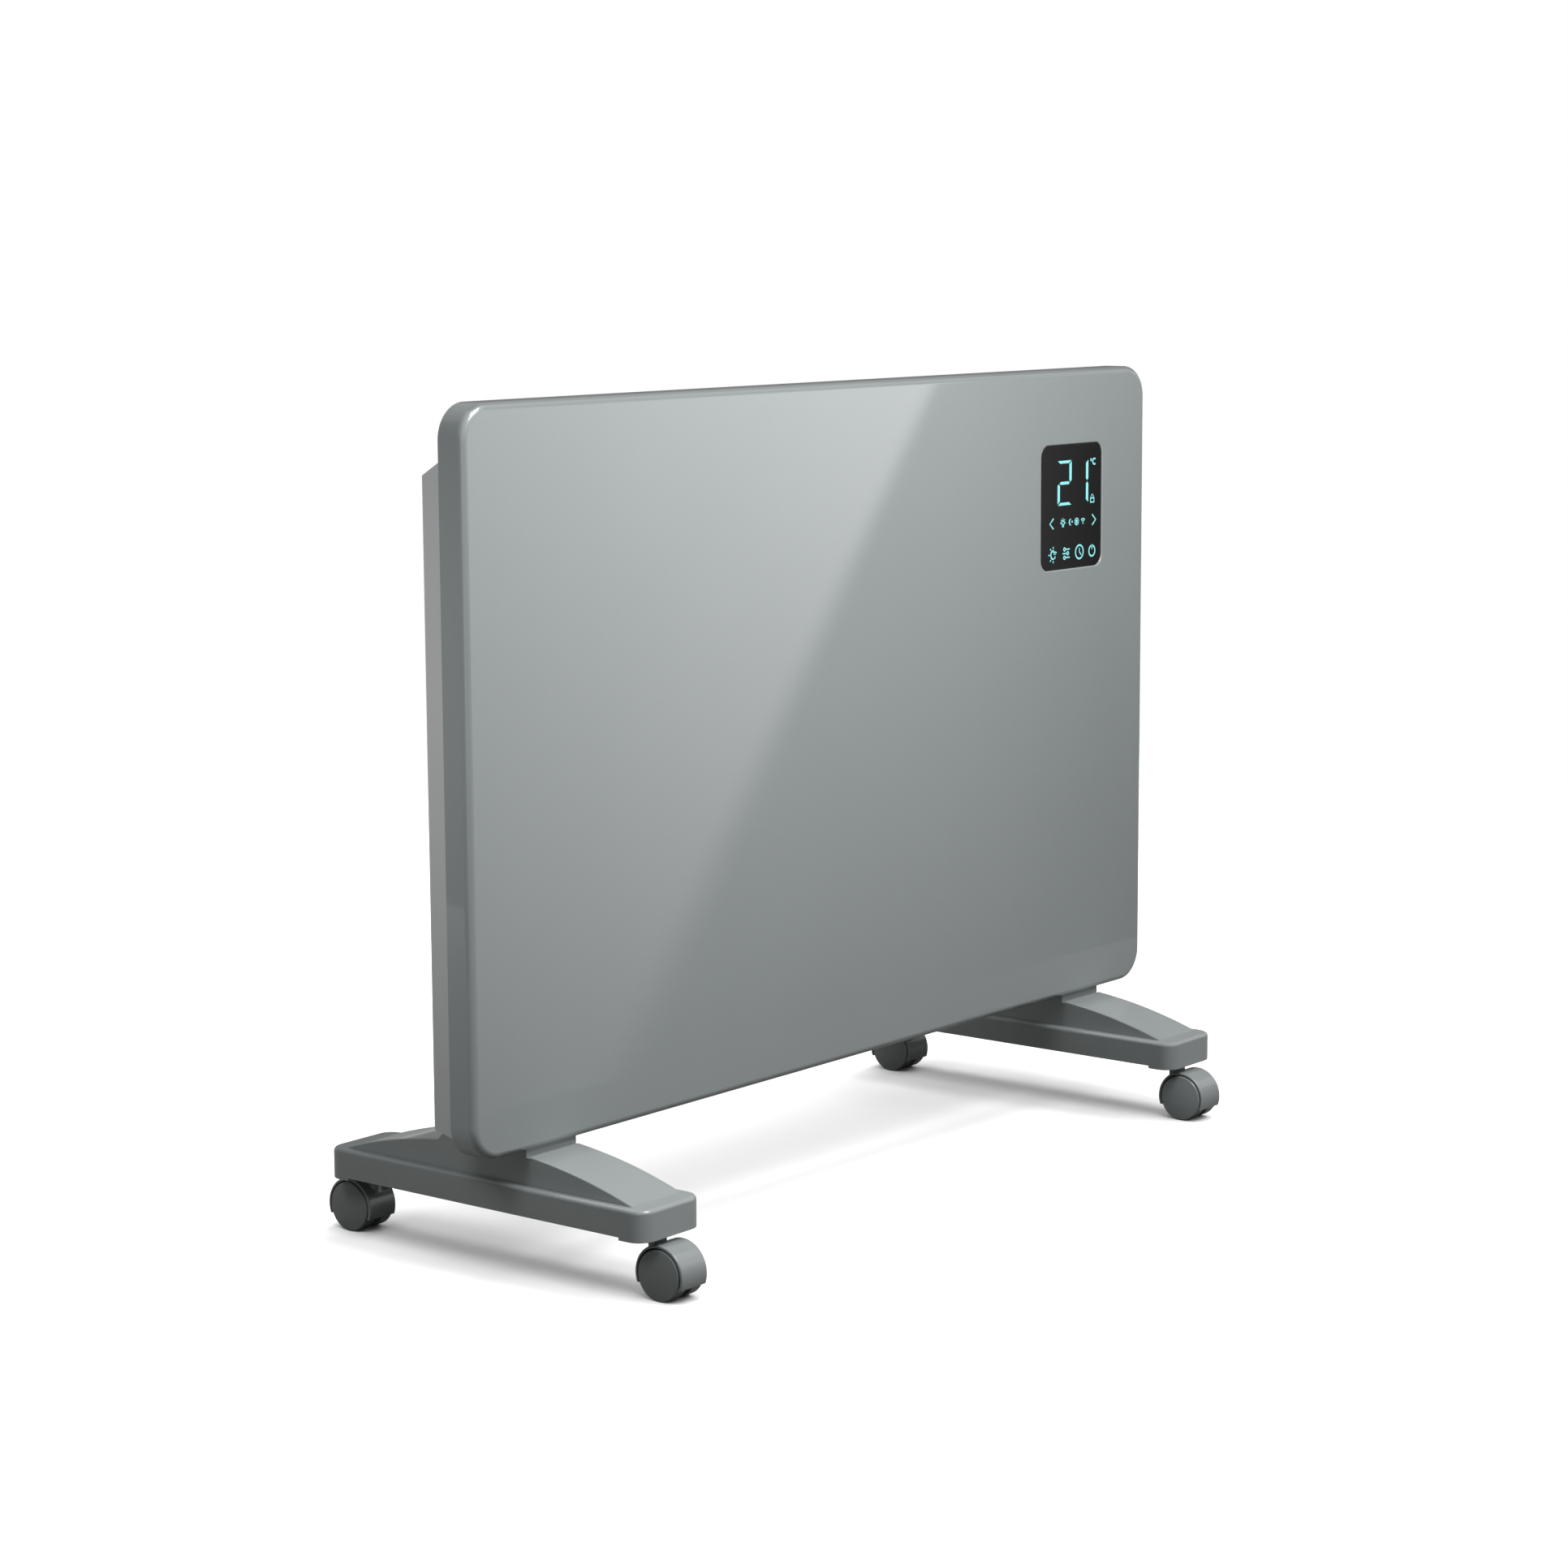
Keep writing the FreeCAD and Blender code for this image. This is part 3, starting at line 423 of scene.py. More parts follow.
def black_glass():
    """Dark smooth window, with the faintest unevenness in its polish."""
    finish = Finish("black_display_window", Coat_Weight=0.0)
    shades(finish, (20, 20, 20), (24, 24, 24), 30.0)
    finish.set(Roughness=finish.between(0.05, 0.09, finish.noise(90.0, 3.0)))
    return finish


def lit_symbol():
    """Light that shines through the window, a little uneven from the diodes behind."""
    finish = Finish("lit_cyan_symbols", Roughness=0.3, Emission_Strength=0.92)
    glow = finish.noise(260.0, 1.0)
    colour = finish.blend(glow, linear(146, 248, 250), linear(168, 255, 255))
    finish.set(Base_Color=linear(20, 50, 52), Emission_Color=colour)
    return finish


FINISHES = {
    "lacquer": lacquer(),
    "housing_paint": housing_paint(),
    "foot_plastic": moulded_grey("gloss_grey_foot_moulding", (147, 152, 152), (152, 157, 157)),
    "castor_plastic": moulded_grey("gloss_grey_castor_moulding", (138, 143, 143), (144, 149, 149)),
    # the wheels take a darker copy of the castor grey: painted shade for their side faces, which sit in shade
    "castor_wheel_plastic": moulded_grey("gloss_grey_wheel_moulding_painted_shade", (122, 127, 127), (129, 134, 134)),
    "window_black": black_glass(),
    "dark_plastic": dark_plastic(),
    "pale_plastic": pale_plastic(),
    "ceramic": ceramic(),
    "circuit": circuit(),
    "fin_aluminium": extruded_aluminium(),
    "zinc_steel": zinc_steel(),
}
SYMBOLS = lit_symbol()


def paint(piece, slot):
    """Give a piece one finish all over."""
    piece.data.materials.clear()
    piece.data.materials.append(FINISHES[slot].material)


SLOT_OF = {entry["node"]: entry["material_slot"] for entry in RECORD["subparts"]}
for node_name, node in frame["nodes"].items():
    for slot_index in range(len(node.material_slots)):
        node.material_slots[slot_index].material = FINISHES[SLOT_OF[node_name]].material


def stands_for(piece, node_name, body, finish=None):
    """A detailed piece takes the place of a plain one."""
    paint(piece, finish or SLOT_OF[node_name])
    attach(piece, body)
    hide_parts(node_name)
    return piece


# ------------------------------------------------------------------ sizes, read from the frame
def box_mm(node_name):
    low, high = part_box(node_name)
    return Vector(low) / MM, Vector(high) / MM


shell_low, shell_high = box_mm("front_shell")
window_low, window_high = box_mm("display_window")


# ------------------------------------------------------------------ front shell
SHEET = 1.2                 # thickness of the shell's sheet
SHELL_CORNER = 25.5
SHELL_EDGE = 5.5
SHELL_RETURN = 9.5
WINDOW_GAP = 0.25
WINDOW_CORNER = 10.0
WINDOW_LIP = 1.0


def rounded_plate(name, low, high, corner, segments=10):
    """Block with its four edges along Y rounded."""
    plate = add_block(name, low, high)
    with Editing(plate) as edit:
        edit.pick("edges", lambda edge, points: along(points, 1))
        edit.bevel(corner, segments)
    return plate


def window_cutter():
    """Tool for the display opening, flared at the front so that it leaves a round lip."""
    low, high = window_low - Vector((WINDOW_GAP, 0, WINDOW_GAP)), window_high + Vector((WINDOW_GAP, 0, WINDOW_GAP))
    face = shell_low.y
    start = Vector((low.x, face + WINDOW_LIP, low.z))
    end = Vector((high.x, face + 6 * SHEET, high.z))
    tool = rounded_plate("window_tool", start, end, WINDOW_CORNER, 12)
    centre = (low + high) / 2 * MM
    half_width, half_height = (high.x - low.x) / 2, (high.z - low.z) / 2
    steps = 5
    with Editing(tool) as edit:
        edit.pick("faces", lambda f, points: all_at(points, 1, start.y))
        grown, depth = 0.0, WINDOW_LIP
        for step in range(1, steps + 1):
            angle = math.pi / 2 * step / steps
            next_depth = WINDOW_LIP * (1 - math.sin(angle))
            next_grown = WINDOW_LIP * (1 - math.cos(angle))
            edit.pull(0, next_depth - depth, 0)
            bpy.ops.transform.resize(value=((half_width + next_grown) / (half_width + grown), 1,
                                            (half_height + next_grown) / (half_height + grown)),
                                     center_override=(centre.x, (face + next_depth) * MM, centre.z))
            grown, depth = next_grown, next_depth
        edit.pull(0, -SHEET, 0)
    return tool


def front_shell():
    """One folded sheet: flat front, round edges and corners, and a return flange at the back."""
    shell = rounded_plate("front_shell_sheet", shell_low, shell_high, SHELL_CORNER, 20)
    with Editing(shell) as edit:
        edit.pick("edges", lambda edge, points: all_at(points, 1, shell_low.y))
        edit.bevel(SHELL_EDGE, 9)
        edit.pick("faces", lambda face, points: all_at(points, 1, shell_high.y))
        edit.inset(SHELL_RETURN)
        bpy.ops.mesh.delete(type="FACE")
    change(shell, "SOLIDIFY", thickness=SHEET * MM, offset=-1.0, use_even_offset=True)
    cut(shell, window_cutter())
    return stands_for(soften(shell), "front_shell", "heater")


def display_window():
    pane = rounded_plate("display_window_pane", window_low, window_high, WINDOW_CORNER - WINDOW_GAP, 12)
    with Editing(pane) as edit:
        edit.pick("edges", lambda edge, points: all_at(points, 1, window_low.y))
        edit.bevel(0.35, 3)
    return stands_for(soften(pane), "display_window", "heater")


# ------------------------------------------------------------------ feet
RIM_RISE = 22.9             # heights above the pads' underside
ARCH_RISE = 45.8
NECK_RISE = 48.9
PAD_DROP = 2.2
PAD_LENGTH = 21.5
FOOT_CORNER = 13.0
RIM_ROUND = 3.3
ARCH_WIDTH = 52.0
ARCH_LENGTH = 278.0
ARCH_ROUND = 1.1
NECK_LENGTH = 80.0
NECK_SLOPE_RUN = 7.0
NECK_SLOPE_DROP = 6.0
GROOVE_WIDTH = 2.6
GROOVE_DEPTH = 1.2
FOOT_WALL = 2.5
RIB_PITCH = 44.0
RIB_THICKNESS = 2.0
RIB_RECESS = 1.5
RISER_WIDTH = 40.0
SOCKET_HOLE = 3.55
SOCKET_DEPTH = 17.8
SCREW_Y = -9.4              # the two screws that hold a foot to the housing
SCREW_SPACING = 24.0
SCREW_HOLE = 2.8
BOSS_HALF = 6.3
BOSS_DEPTH = 13.5
HOUSING_FLOOR_SLOPE = 14.0


def arch_block(name, base, inward, low):
    """Arch with a round top, over a flat base, moved inward by a wall."""
    half_length = ARCH_LENGTH / 2 - inward
    rise = ARCH_RISE - RIM_RISE
    radius = ((ARCH_LENGTH / 2) ** 2 + rise ** 2) / (2 * rise)
    centre = base + ARCH_RISE - radius
    half_width = ARCH_WIDTH / 2 - inward
    arch = add_drum(name, radius - inward, (-half_width, 0, centre), (half_width, 0, centre), 900)
    with Editing(arch) as edit:
        edit.slice_off((0, 0, low), (0, 0, -1), True)
        edit.slice_off((0, half_length, 0), (0, 1, 0), True)
        edit.slice_off((0, -half_length, 0), (0, -1, 0), True)
    return arch


def foot_outside(base):
    """Rim with soft top edge and lowered ends, arch, neck and groove."""
    half_width, half_length = FOOT_HALF.x, FOOT_HALF.y
    rim = add_block("rim", (-half_width, -half_length, base), (half_width, half_length, base + RIM_RISE))
    with Editing(rim) as edit:
        edit.pick("edges", lambda edge, points: along(points, 2))
        edit.bevel(FOOT_CORNER, 14)
        edit.pick("edges", lambda edge, points: all_at(points, 2, base + RIM_RISE))
        edit.bevel(RIM_ROUND, 6)
        edit.pick("edges", lambda edge, points: all_at(points, 2, base))
        edit.bevel(0.5, 2)
    lifted = half_length - PAD_LENGTH
    relief = add_block("relief", (-2 * half_width, -lifted, base - 5), (2 * half_width, lifted, base + PAD_DROP))
    cut(rim, relief)
    arch = arch_block("arch", base, 0.0, base + RIM_RISE / 2)
    with Editing(arch) as edit:
        edit.pick("edges", lambda edge, points: all_at(points, 0, math.copysign(ARCH_WIDTH / 2, points[0].x))
                  and min(points[0].z, points[1].z) > base + RIM_RISE - 1 and abs(points[0].y - points[1].y) > 0.1)
        edit.bevel(ARCH_ROUND, 4)
    half_neck = NECK_LENGTH / 2
    neck = add_block("neck", (-ARCH_WIDTH / 2, -half_neck, base + RIM_RISE),
                     (ARCH_WIDTH / 2, half_neck + NECK_SLOPE_RUN, base + NECK_RISE))
    with Editing(neck) as edit:
        edit.slice_off((0, half_neck, base + NECK_RISE), (0, NECK_SLOPE_DROP, NECK_SLOPE_RUN), True)
        edit.pick("edges", lambda edge, points: along(points, 0) and points[0].z > base + RIM_RISE + 1)
        edit.bevel(0.8, 3)
    groove = add_block("groove", (-ARCH_WIDTH, -half_neck - GROOVE_WIDTH, base + ARCH_RISE - 2 - GROOVE_DEPTH),
                       (ARCH_WIDTH, -half_neck, base + 2 * ARCH_RISE))
    cut(arch, groove)
    return fuse(rim, arch, neck)


def rib_top(base, y):
    """Height inside the skin of the arch or of the neck."""
    if abs(y) < NECK_LENGTH / 2 - FOOT_WALL:
        return base + NECK_RISE - FOOT_WALL / 2
    rise = ARCH_RISE - RIM_RISE
    radius = ((ARCH_LENGTH / 2) ** 2 + rise ** 2) / (2 * rise)
    return base + ARCH_RISE - radius + math.sqrt(radius ** 2 - y ** 2) - FOOT_WALL / 2


def foot_ribs(base, reach):
    """Cross ribs and one lengthwise rib that follows the arch."""
    ribs = []
    low, step = base + PAD_DROP + RIB_RECESS, base + RIM_RISE - FOOT_WALL / 2
    count = int(reach / RIB_PITCH)
    for index in range(-count, count + 1):
        y = index * RIB_PITCH
        for half_width, top in ((FOOT_HALF.x - FOOT_WALL / 2, step), (ARCH_WIDTH / 2 - FOOT_WALL / 2, rib_top(base, y))):
            ribs.append(add_block("rib", (-half_width, y - RIB_THICKNESS / 2, low),
                                  (half_width, y + RIB_THICKNESS / 2, top)))
    spine = arch_block("spine", base, FOOT_WALL / 2, low)
    with Editing(spine) as edit:
        for side in (-1, 1):
            edit.slice_off((side * RIB_THICKNESS / 2, 0, 0), (side, 0, 0), True)
            edit.slice_off((0, side * (reach + 1), 0), (0, side, 0), True)
    return ribs + [spine]


def foot(side_name):
    """Moulded foot, hollow and ribbed below, with a riser and two screw bosses at its neck."""
    low, high = box_mm("foot_" + side_name)
    base = low.z
    body = foot_outside(base)
    reach = FOOT_HALF.y - PAD_LENGTH - FOOT_WALL
    hollow = add_block("hollow", (FOOT_WALL - FOOT_HALF.x, -reach, base - 5),
                       (FOOT_HALF.x - FOOT_WALL, reach, base + RIM_RISE - FOOT_WALL))
    with Editing(hollow) as edit:
        edit.pick("edges", lambda edge, points: along(points, 2))
        edit.bevel(2.0, 3)
    upper = arch_block("upper_hollow", base, FOOT_WALL, base + RIM_RISE / 2)
    with Editing(upper) as edit:
        edit.slice_off((0, reach, 0), (0, 1, 0), True)
        edit.slice_off((0, -reach, 0), (0, -1, 0), True)
    inner = Vector((ARCH_WIDTH / 2 - FOOT_WALL, NECK_LENGTH / 2 - FOOT_WALL, 0))
    neck = add_block("neck_hollow", (-inner.x, -inner.y, base + RIM_RISE), (inner.x, inner.y, base + NECK_RISE - FOOT_WALL))
    stem = (box_mm("castor_front_left_stem")[0].y + box_mm("castor_front_left_stem")[1].y) / 2
    sockets = [add_drum("socket_hole", SOCKET_HOLE, (0, y, base - 5), (0, y, base + SOCKET_DEPTH), 48)
               for y in (-stem, stem)]
    cut(body, hollow, upper, neck, *sockets)
    ribs = foot_ribs(base, reach)
    housing_low, housing_high = box_mm("rear_housing")
    front, back = housing_low.y + 1.3, housing_high.y - 0.3
    riser = add_block("riser", (-RISER_WIDTH / 2, front, base + NECK_RISE - 1),
                      (RISER_WIDTH / 2, back, high.z))
    slope = math.radians(HOUSING_FLOOR_SLOPE)
    with Editing(riser) as edit:
        edit.slice_off((0, back, high.z), (0, -math.sin(slope), math.cos(slope)), True)
    boss_low = base + NECK_RISE - BOSS_DEPTH
    for side in (-1, 1):
        x, y = side * SCREW_SPACING / 2, SCREW_Y
        boss = add_block("screw_boss", (x - BOSS_HALF, y - BOSS_HALF, boss_low),
                         (x + BOSS_HALF, y + BOSS_HALF, base + NECK_RISE - FOOT_WALL / 2))
        for part in (body, riser, boss):
            cut(part, add_drum("screw_hole", SCREW_HOLE, (x, y, boss_low - 1), (x, y, high.z + 5), 40))
        ribs.append(boss)
    whole = join("foot_moulding_" + side_name, [body, riser] + ribs)
    whole.data.transform(Matrix.Translation(((low.x + high.x) / 2 * MM, 0, 0)))
    return stands_for(soften(whole), "foot_" + side_name, "heater")


foot_low, foot_high = box_mm("foot_left")
FOOT_HALF = (foot_high - foot_low) / 2


# ------------------------------------------------------------------ castors
HOOD_WALL = 1.9
HOOD_WEB = 5.0
BOSS_RADIUS = 6.5
HOOD_SKIRT = 7.5
WHEEL_EDGE = 1.2
WHEEL_DOME = 1.5


def castor_hood_shape(name):
    """Hood at the axle's place, trailing towards -Y from its stem."""
    low, high = box_mm("castor_front_left_hood")
    wheel_low, wheel_high = box_mm("castor_front_left_wheel_left")
    axle_y, axle_z = (wheel_low.y + wheel_high.y) / 2, (wheel_low.z + wheel_high.z) / 2
    stem_low, stem_high = box_mm("castor_front_left_stem")
    stem_y = (stem_low.y + stem_high.y) / 2
    radius = axle_y - low.y
    half_width = (high.x - low.x) / 2
    hood = add_drum(name, radius, (-half_width, axle_y, axle_z), (half_width, axle_y, axle_z), 128)
    with Editing(hood) as edit:
        edit.pick("edges", lambda edge, points: all_at(points, 0, math.copysign(half_width, points[0].x)))
        edit.bevel(1.1, 4)
    boss = add_drum("boss", BOSS_RADIUS, (0, stem_y, axle_z), (0, stem_y, high.z), 64)
    with Editing(boss) as edit:
        edit.pick("edges", lambda edge, points: all_at(points, 2, high.z))
        edit.bevel(0.8, 3)
    fuse(hood, boss)
    skirt = axle_z - HOOD_SKIRT
    tools = [add_block("below", (-50, axle_y - 50, axle_z - 60), (50, axle_y + 50, skirt))]
    for side in (-1, 1):
        tools.append(add_drum("well", radius - HOOD_WALL, (side * HOOD_WEB / 2, axle_y, axle_z),
                              (side * 40, axle_y, axle_z), 128))
    tools.append(add_drum("stem_hole", 3.52, (0, stem_y, high.z - 7), (0, stem_y, high.z + 5), 40))
    cut(hood, *tools)
    return soften(hood)


def castor_wheel_shape(name):
    """Wheel on the -X side: bevelled, slightly domed disc and a plain tread."""
    low, high = box_mm("castor_front_left_wheel_left")
    middle = (box_mm("castor_front_left_hood")[0].x + box_mm("castor_front_left_hood")[1].x) / 2
    axle_y, axle_z = (low.y + high.y) / 2, (low.z + high.z) / 2
    radius = (high.z - low.z) / 2
    outer, inner = low.x - middle, high.x - middle
    wheel = add_drum(name, radius, (inner, axle_y, axle_z), (outer, axle_y, axle_z), 128)
    centre = Vector((outer, axle_y, axle_z)) * MM
    with Editing(wheel) as edit:
        edit.pick("edges", lambda edge, points: all_at(points, 0, outer))
        edit.bevel(WHEEL_EDGE, 5)
        edit.pick("edges", lambda edge, points: all_at(points, 0, inner))
        edit.bevel(0.8, 3)
        edit.pick("faces", lambda face, points: all_at(points, 0, outer) and len(points) > 20)
        rings = 6
        flat = radius - WHEEL_EDGE
        for ring in range(rings):
            edit.inset(flat / (rings + 1))
        edit.pick("faces", lambda face, points: all_at(points, 0, inner) and len(points) > 20)
        edit.inset(radius - 0.8 - 12.0)
        edit.inset(1.0)
    for vertex in wheel.data.vertices:
        away = Vector((0, vertex.co.y - centre.y, vertex.co.z - centre.z))
        distance = away.length / MM
        if abs(vertex.co.x / MM - outer) < 0.01 and distance < radius - WHEEL_EDGE - 0.01:
            share = distance / (radius - WHEEL_EDGE)
            vertex.co.x -= WHEEL_DOME * (1 - share ** 2) * MM
    return soften(wheel, 40.0)


def castors():
    hood_model = castor_hood_shape("hood_model")
    wheel_model = castor_wheel_shape("wheel_model")
    low, high = box_mm("castor_front_left_hood")
    for side_name in ("left", "right"):
        for end_name in ("front", "rear"):
            castor = "castor_%s_%s" % (end_name, side_name)
            body = castor + "_swivel"
            hood_box = box_mm(castor + "_hood")
            place = Matrix.Translation(((hood_box[0].x + hood_box[1].x) / 2 * MM, 0, 0))
            if end_name == "rear":
                place = place @ Matrix.Rotation(math.pi, 4, "Z")
            stands_for(copy_of(hood_model, castor + "_hood_moulding", place), castor + "_hood", body)
            for wheel_name in ("left", "right"):
                node_name = castor + "_wheel_" + wheel_name
                turned = (wheel_name == "right") != (end_name == "rear")
                turn = Matrix.Identity(4)
                if turned:
                    axle_y = (box_mm("castor_front_left_wheel_left")[0].y
                              + box_mm("castor_front_left_wheel_left")[1].y) / 2 * MM
                    turn = (Matrix.Translation((0, axle_y, 0)) @ Matrix.Rotation(math.pi, 4, "Z")
                            @ Matrix.Translation((0, -axle_y, 0)))
                stands_for(copy_of(wheel_model, node_name + "_disc", place @ turn), node_name, node_name + "_body",
                           "castor_wheel_plastic")
    for model in (hood_model, wheel_model):
        bpy.data.objects.remove(model, do_unlink=True)


# ------------------------------------------------------------------ rear housing
def rear_housing():
    """The plain housing with its folds rounded."""
    housing = copy_of(frame["nodes"]["rear_housing"], "rear_housing_sheet")
    housing.parent = None
    activate(housing)
    with Editing(housing):
        bpy.ops.mesh.select_all(action="SELECT")
        bpy.ops.mesh.remove_doubles(threshold=0.00001)
        bpy.ops.mesh.dissolve_limited(angle_limit=math.radians(0.5))
    return stands_for(soften(housing, 30.0), "rear_housing", "heater")


# ------------------------------------------------------------------ lit symbols
# Outlines and strokes in millimetres, across and up from the middle of the display
BOLD_STROKE = 1.4
STROKE = 1.1
FINE_STROKE = 0.75
DIGIT_OUTLINES = [
    [(-19.4, 38.0), (0.0, 38.0), (-3.6, 35.7), (-16.4, 35.7)],
    [(0.4, 37.0), (0.4, 22.0), (-1.2, 20.2), (-2.9, 21.8), (-2.9, 34.9)],
    [(-17.0, 19.5), (-15.2, 20.8), (-4.0, 20.8), (-2.3, 19.6), (-4.0, 18.4), (-15.2, 18.4)],
    [(-18.3, 19.0), (-16.5, 17.6), (-16.5, 4.9), (-19.8, 2.6), (-19.8, 17.6)],
    [(-19.0, 1.4), (-15.9, 3.7), (-3.4, 3.7), (0.0, 1.4)],
    [(24.7, 37.0), (24.7, 21.8), (23.1, 20.3), (21.4, 21.8), (21.4, 34.6)],
    [(23.1, 19.2), (24.8, 17.6), (24.8, 2.4), (21.5, 4.6), (21.5, 17.7)],
]


def ring(x, z, radius, start=0.0, end=360.0, steps=28):
    """Points along part of a circle, angles in degrees from the right, turning upwards."""
    count = steps if end - start < 360 else steps - 1
    angles = [math.radians(start + (end - start) * index / steps) for index in range(count + 1)]
    return [(x + radius * math.cos(angle), z + radius * math.sin(angle)) for angle in angles]


def spokes(x, z, inner, outer, angles):
    turns = [math.radians(angle) for angle in angles]
    return [[(x + inner * math.cos(turn), z + inner * math.sin(turn)),
             (x + outer * math.cos(turn), z + outer * math.sin(turn))] for turn in turns]


def drawn(points, closed, width=None):
    """Flat mark on the display: a stroke of a width, or a filled outline without one."""
    deselect()
    data = bpy.data.curves.new("mark", "CURVE")
    data.dimensions = "2D" if width is None else "3D"
    if width is None:
        data.fill_mode = "BOTH"
        data.extrude = MARK_RISE * MM
    else:
        data.bevel_depth = width / 2 * MM
        data.bevel_resolution = 2
        data.use_fill_caps = True
    spline = data.splines.new("POLY")
    spline.points.add(len(points) - 1)
    for point, (x, z) in zip(spline.points, points):
        point.co = (x * MM, z * MM, 0, 1)
    spline.use_cyclic_u = closed
    mark = bpy.data.objects.new("mark", data)
    bpy.context.collection.objects.link(mark)
    activate(mark)
    bpy.ops.object.convert(target="MESH")
    mark = bpy.context.active_object
    if width is not None:
        mark.data.transform(Matrix.Diagonal((1, 1, 2 * MARK_RISE / width, 1)))
    mark.data.transform(Matrix.Rotation(math.pi / 2, 4, "X"))
    return mark


MARK_RISE = 0.03


def display_symbols():
    """Digits, the row of modes and the row of keys, lit from behind."""
    marks = [drawn(outline, True) for outline in DIGIT_OUTLINES]
    crescent = ring(-0.5, -12.9, 2.8, 70, 290) + ring(0.9, -12.9, 2.6, 115, 245)[::-1]
    marks += [drawn(crescent, True), drawn(ring(1.5, -12.7, 0.9), True)]
    strokes = [
        # degrees and the key lock
        (ring(28.9, 36.8, 0.9), True, FINE_STROKE),
        (ring(33.6, 35.3, 2.3, 50, 310), False, BOLD_STROKE),
        ([(28.3, 5.1), (33.4, 5.1), (33.4, 1.7), (28.3, 1.7)], True, BOLD_STROKE),
        ([(29.1, 5.2), (29.1, 6.6), (29.9, 7.8), (30.8, 8.1), (31.7, 7.8), (32.5, 6.6), (32.5, 5.2)],
         False, FINE_STROKE),
        # steps back and on
        ([(-25.4, -8.6), (-30.6, -12.9), (-25.4, -17.2)], False, BOLD_STROKE),
        ([(30.9, -8.6), (36.1, -12.9), (30.9, -17.2)], False, BOLD_STROKE),
        # modes: lamp, frost guard, radio link
        (ring(-11.7, -12.9, 1.8), True, STROKE),
        ([(-13.0, -15.9), (-10.4, -15.9)], False, STROKE),
        (ring(8.2, -13.0, 2.8), True, FINE_STROKE),
        (ring(17.4, -15.2, 4.0, 48, 132), False, STROKE),
        (ring(17.4, -15.2, 2.3, 48, 132), False, FINE_STROKE),
        ([(17.4, -15.5), (17.4, -14.3)], False, BOLD_STROKE),
        # keys: comfort, settings, timer, power
        (ring(-25.6, -38.3, 3.4, 75, 285), False, BOLD_STROKE),
        (ring(-23.2, -40.0, 3.9, 52, 128), False, STROKE),
        (ring(-23.2, -40.0, 2.2, 52, 128), False, FINE_STROKE),
        ([(-23.2, -39.6), (-23.2, -41.6)], False, BOLD_STROKE),
        (ring(12.4, -38.3, 5.6), True, BOLD_STROKE),
        ([(12.4, -35.0), (12.4, -38.3), (15.1, -40.9)], False, STROKE),
        (ring(30.8, -38.6, 4.4, 108, 432), False, BOLD_STROKE),
        ([(30.8, -33.2), (30.8, -37.4)], False, STROKE),
    ]
    for spoke in spokes(8.2, -13.0, 0.0, 2.5, (30, 90, 150, 210, 270, 330)):
        strokes.append((spoke, False, FINE_STROKE))
    for spoke in (spokes(-11.7, -12.9, 2.7, 3.8, (0, 45, 90, 135, 180))
                  + spokes(-25.6, -38.3, 5.0, 6.8, (90, 130, 180, 230, 270))):
        strokes.append((spoke, False, STROKE))
    for z, knob in ((-34.9, -9.3), (-38.3, -4.5), (-41.7, -9.3)):
        strokes.append((ring(knob, z, 1.25, steps=16), True, STROKE))
        outer = -1.8 if knob < -5 else -12.0
        strokes.append(([(knob + math.copysign(1.2, outer - knob), z), (outer, z)], False, STROKE))
    marks += [drawn(points, closed, width) for points, closed, width in strokes]
    whole = join("display_symbols", marks)
    middle = (window_low + window_high) / 2
    whole.data.transform(Matrix.Translation(Vector((middle.x, window_low.y - MARK_RISE / 2, middle.z)) * MM))
    whole.data.materials.clear()
    whole.data.materials.append(SYMBOLS.material)
    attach(whole, "heater")


# ------------------------------------------------------------------ small pieces of the housing
SLAT_WIDTH = 1.6
SLAT_PITCH = 6.0            # three slats in each slot
SLOT_PITCH = 30.0
SLAT_DEPTHS = (-1.4, -0.3)  # under the sheet's outer face
GRILLES = [                 # middle across the depth and height, slope, slot length, slots on each side
    (-9.4, 572.27, -30.7, 21.0, 12),
    (-9.4, 108.12, 14.0, 17.0, 9),
]
SCREW_HEAD = 3.4
SCREW_RISE = 1.9


def grille_slats():
    """Thin bars that guard the slots of both grilles."""
    slats = []
    for y, z, slope, length, count in GRILLES:
        model = add_block("slat", (-SLAT_WIDTH / 2, -length / 2 - 1, SLAT_DEPTHS[0]),
                          (SLAT_WIDTH / 2, length / 2 + 1, SLAT_DEPTHS[1]))
        for slot in range(-count, count + 1):
            for step in (-1, 0, 1):
                place = Matrix.Translation(Vector((slot * SLOT_PITCH + step * SLAT_PITCH, y, z)) * MM)
                slats.append(copy_of(model, "slat", place @ Matrix.Rotation(math.radians(slope), 4, "X")))
        bpy.data.objects.remove(model, do_unlink=True)
    whole = join("grille_slats", slats)
    paint(whole, "housing_paint")
    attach(whole, "heater")


def screw_model():
    """Pan-head screw with a cross recess, its head on the plane y = 0 and facing +Y."""
    head = add_drum("screw", SCREW_HEAD, (0, 0, 0), (0, SCREW_RISE, 0), 32)
    with Editing(head) as edit:
        edit.pick("edges", lambda edge, points: all_at(points, 1, SCREW_RISE))
        edit.bevel(0.9, 4)
    for size in ((1.9, 0.45), (0.45, 1.9)):
        cut(head, add_block("recess", (-size[0], SCREW_RISE - 1.1, -size[1]), (size[0], SCREW_RISE + 1, size[1])))
    return soften(head, 40)


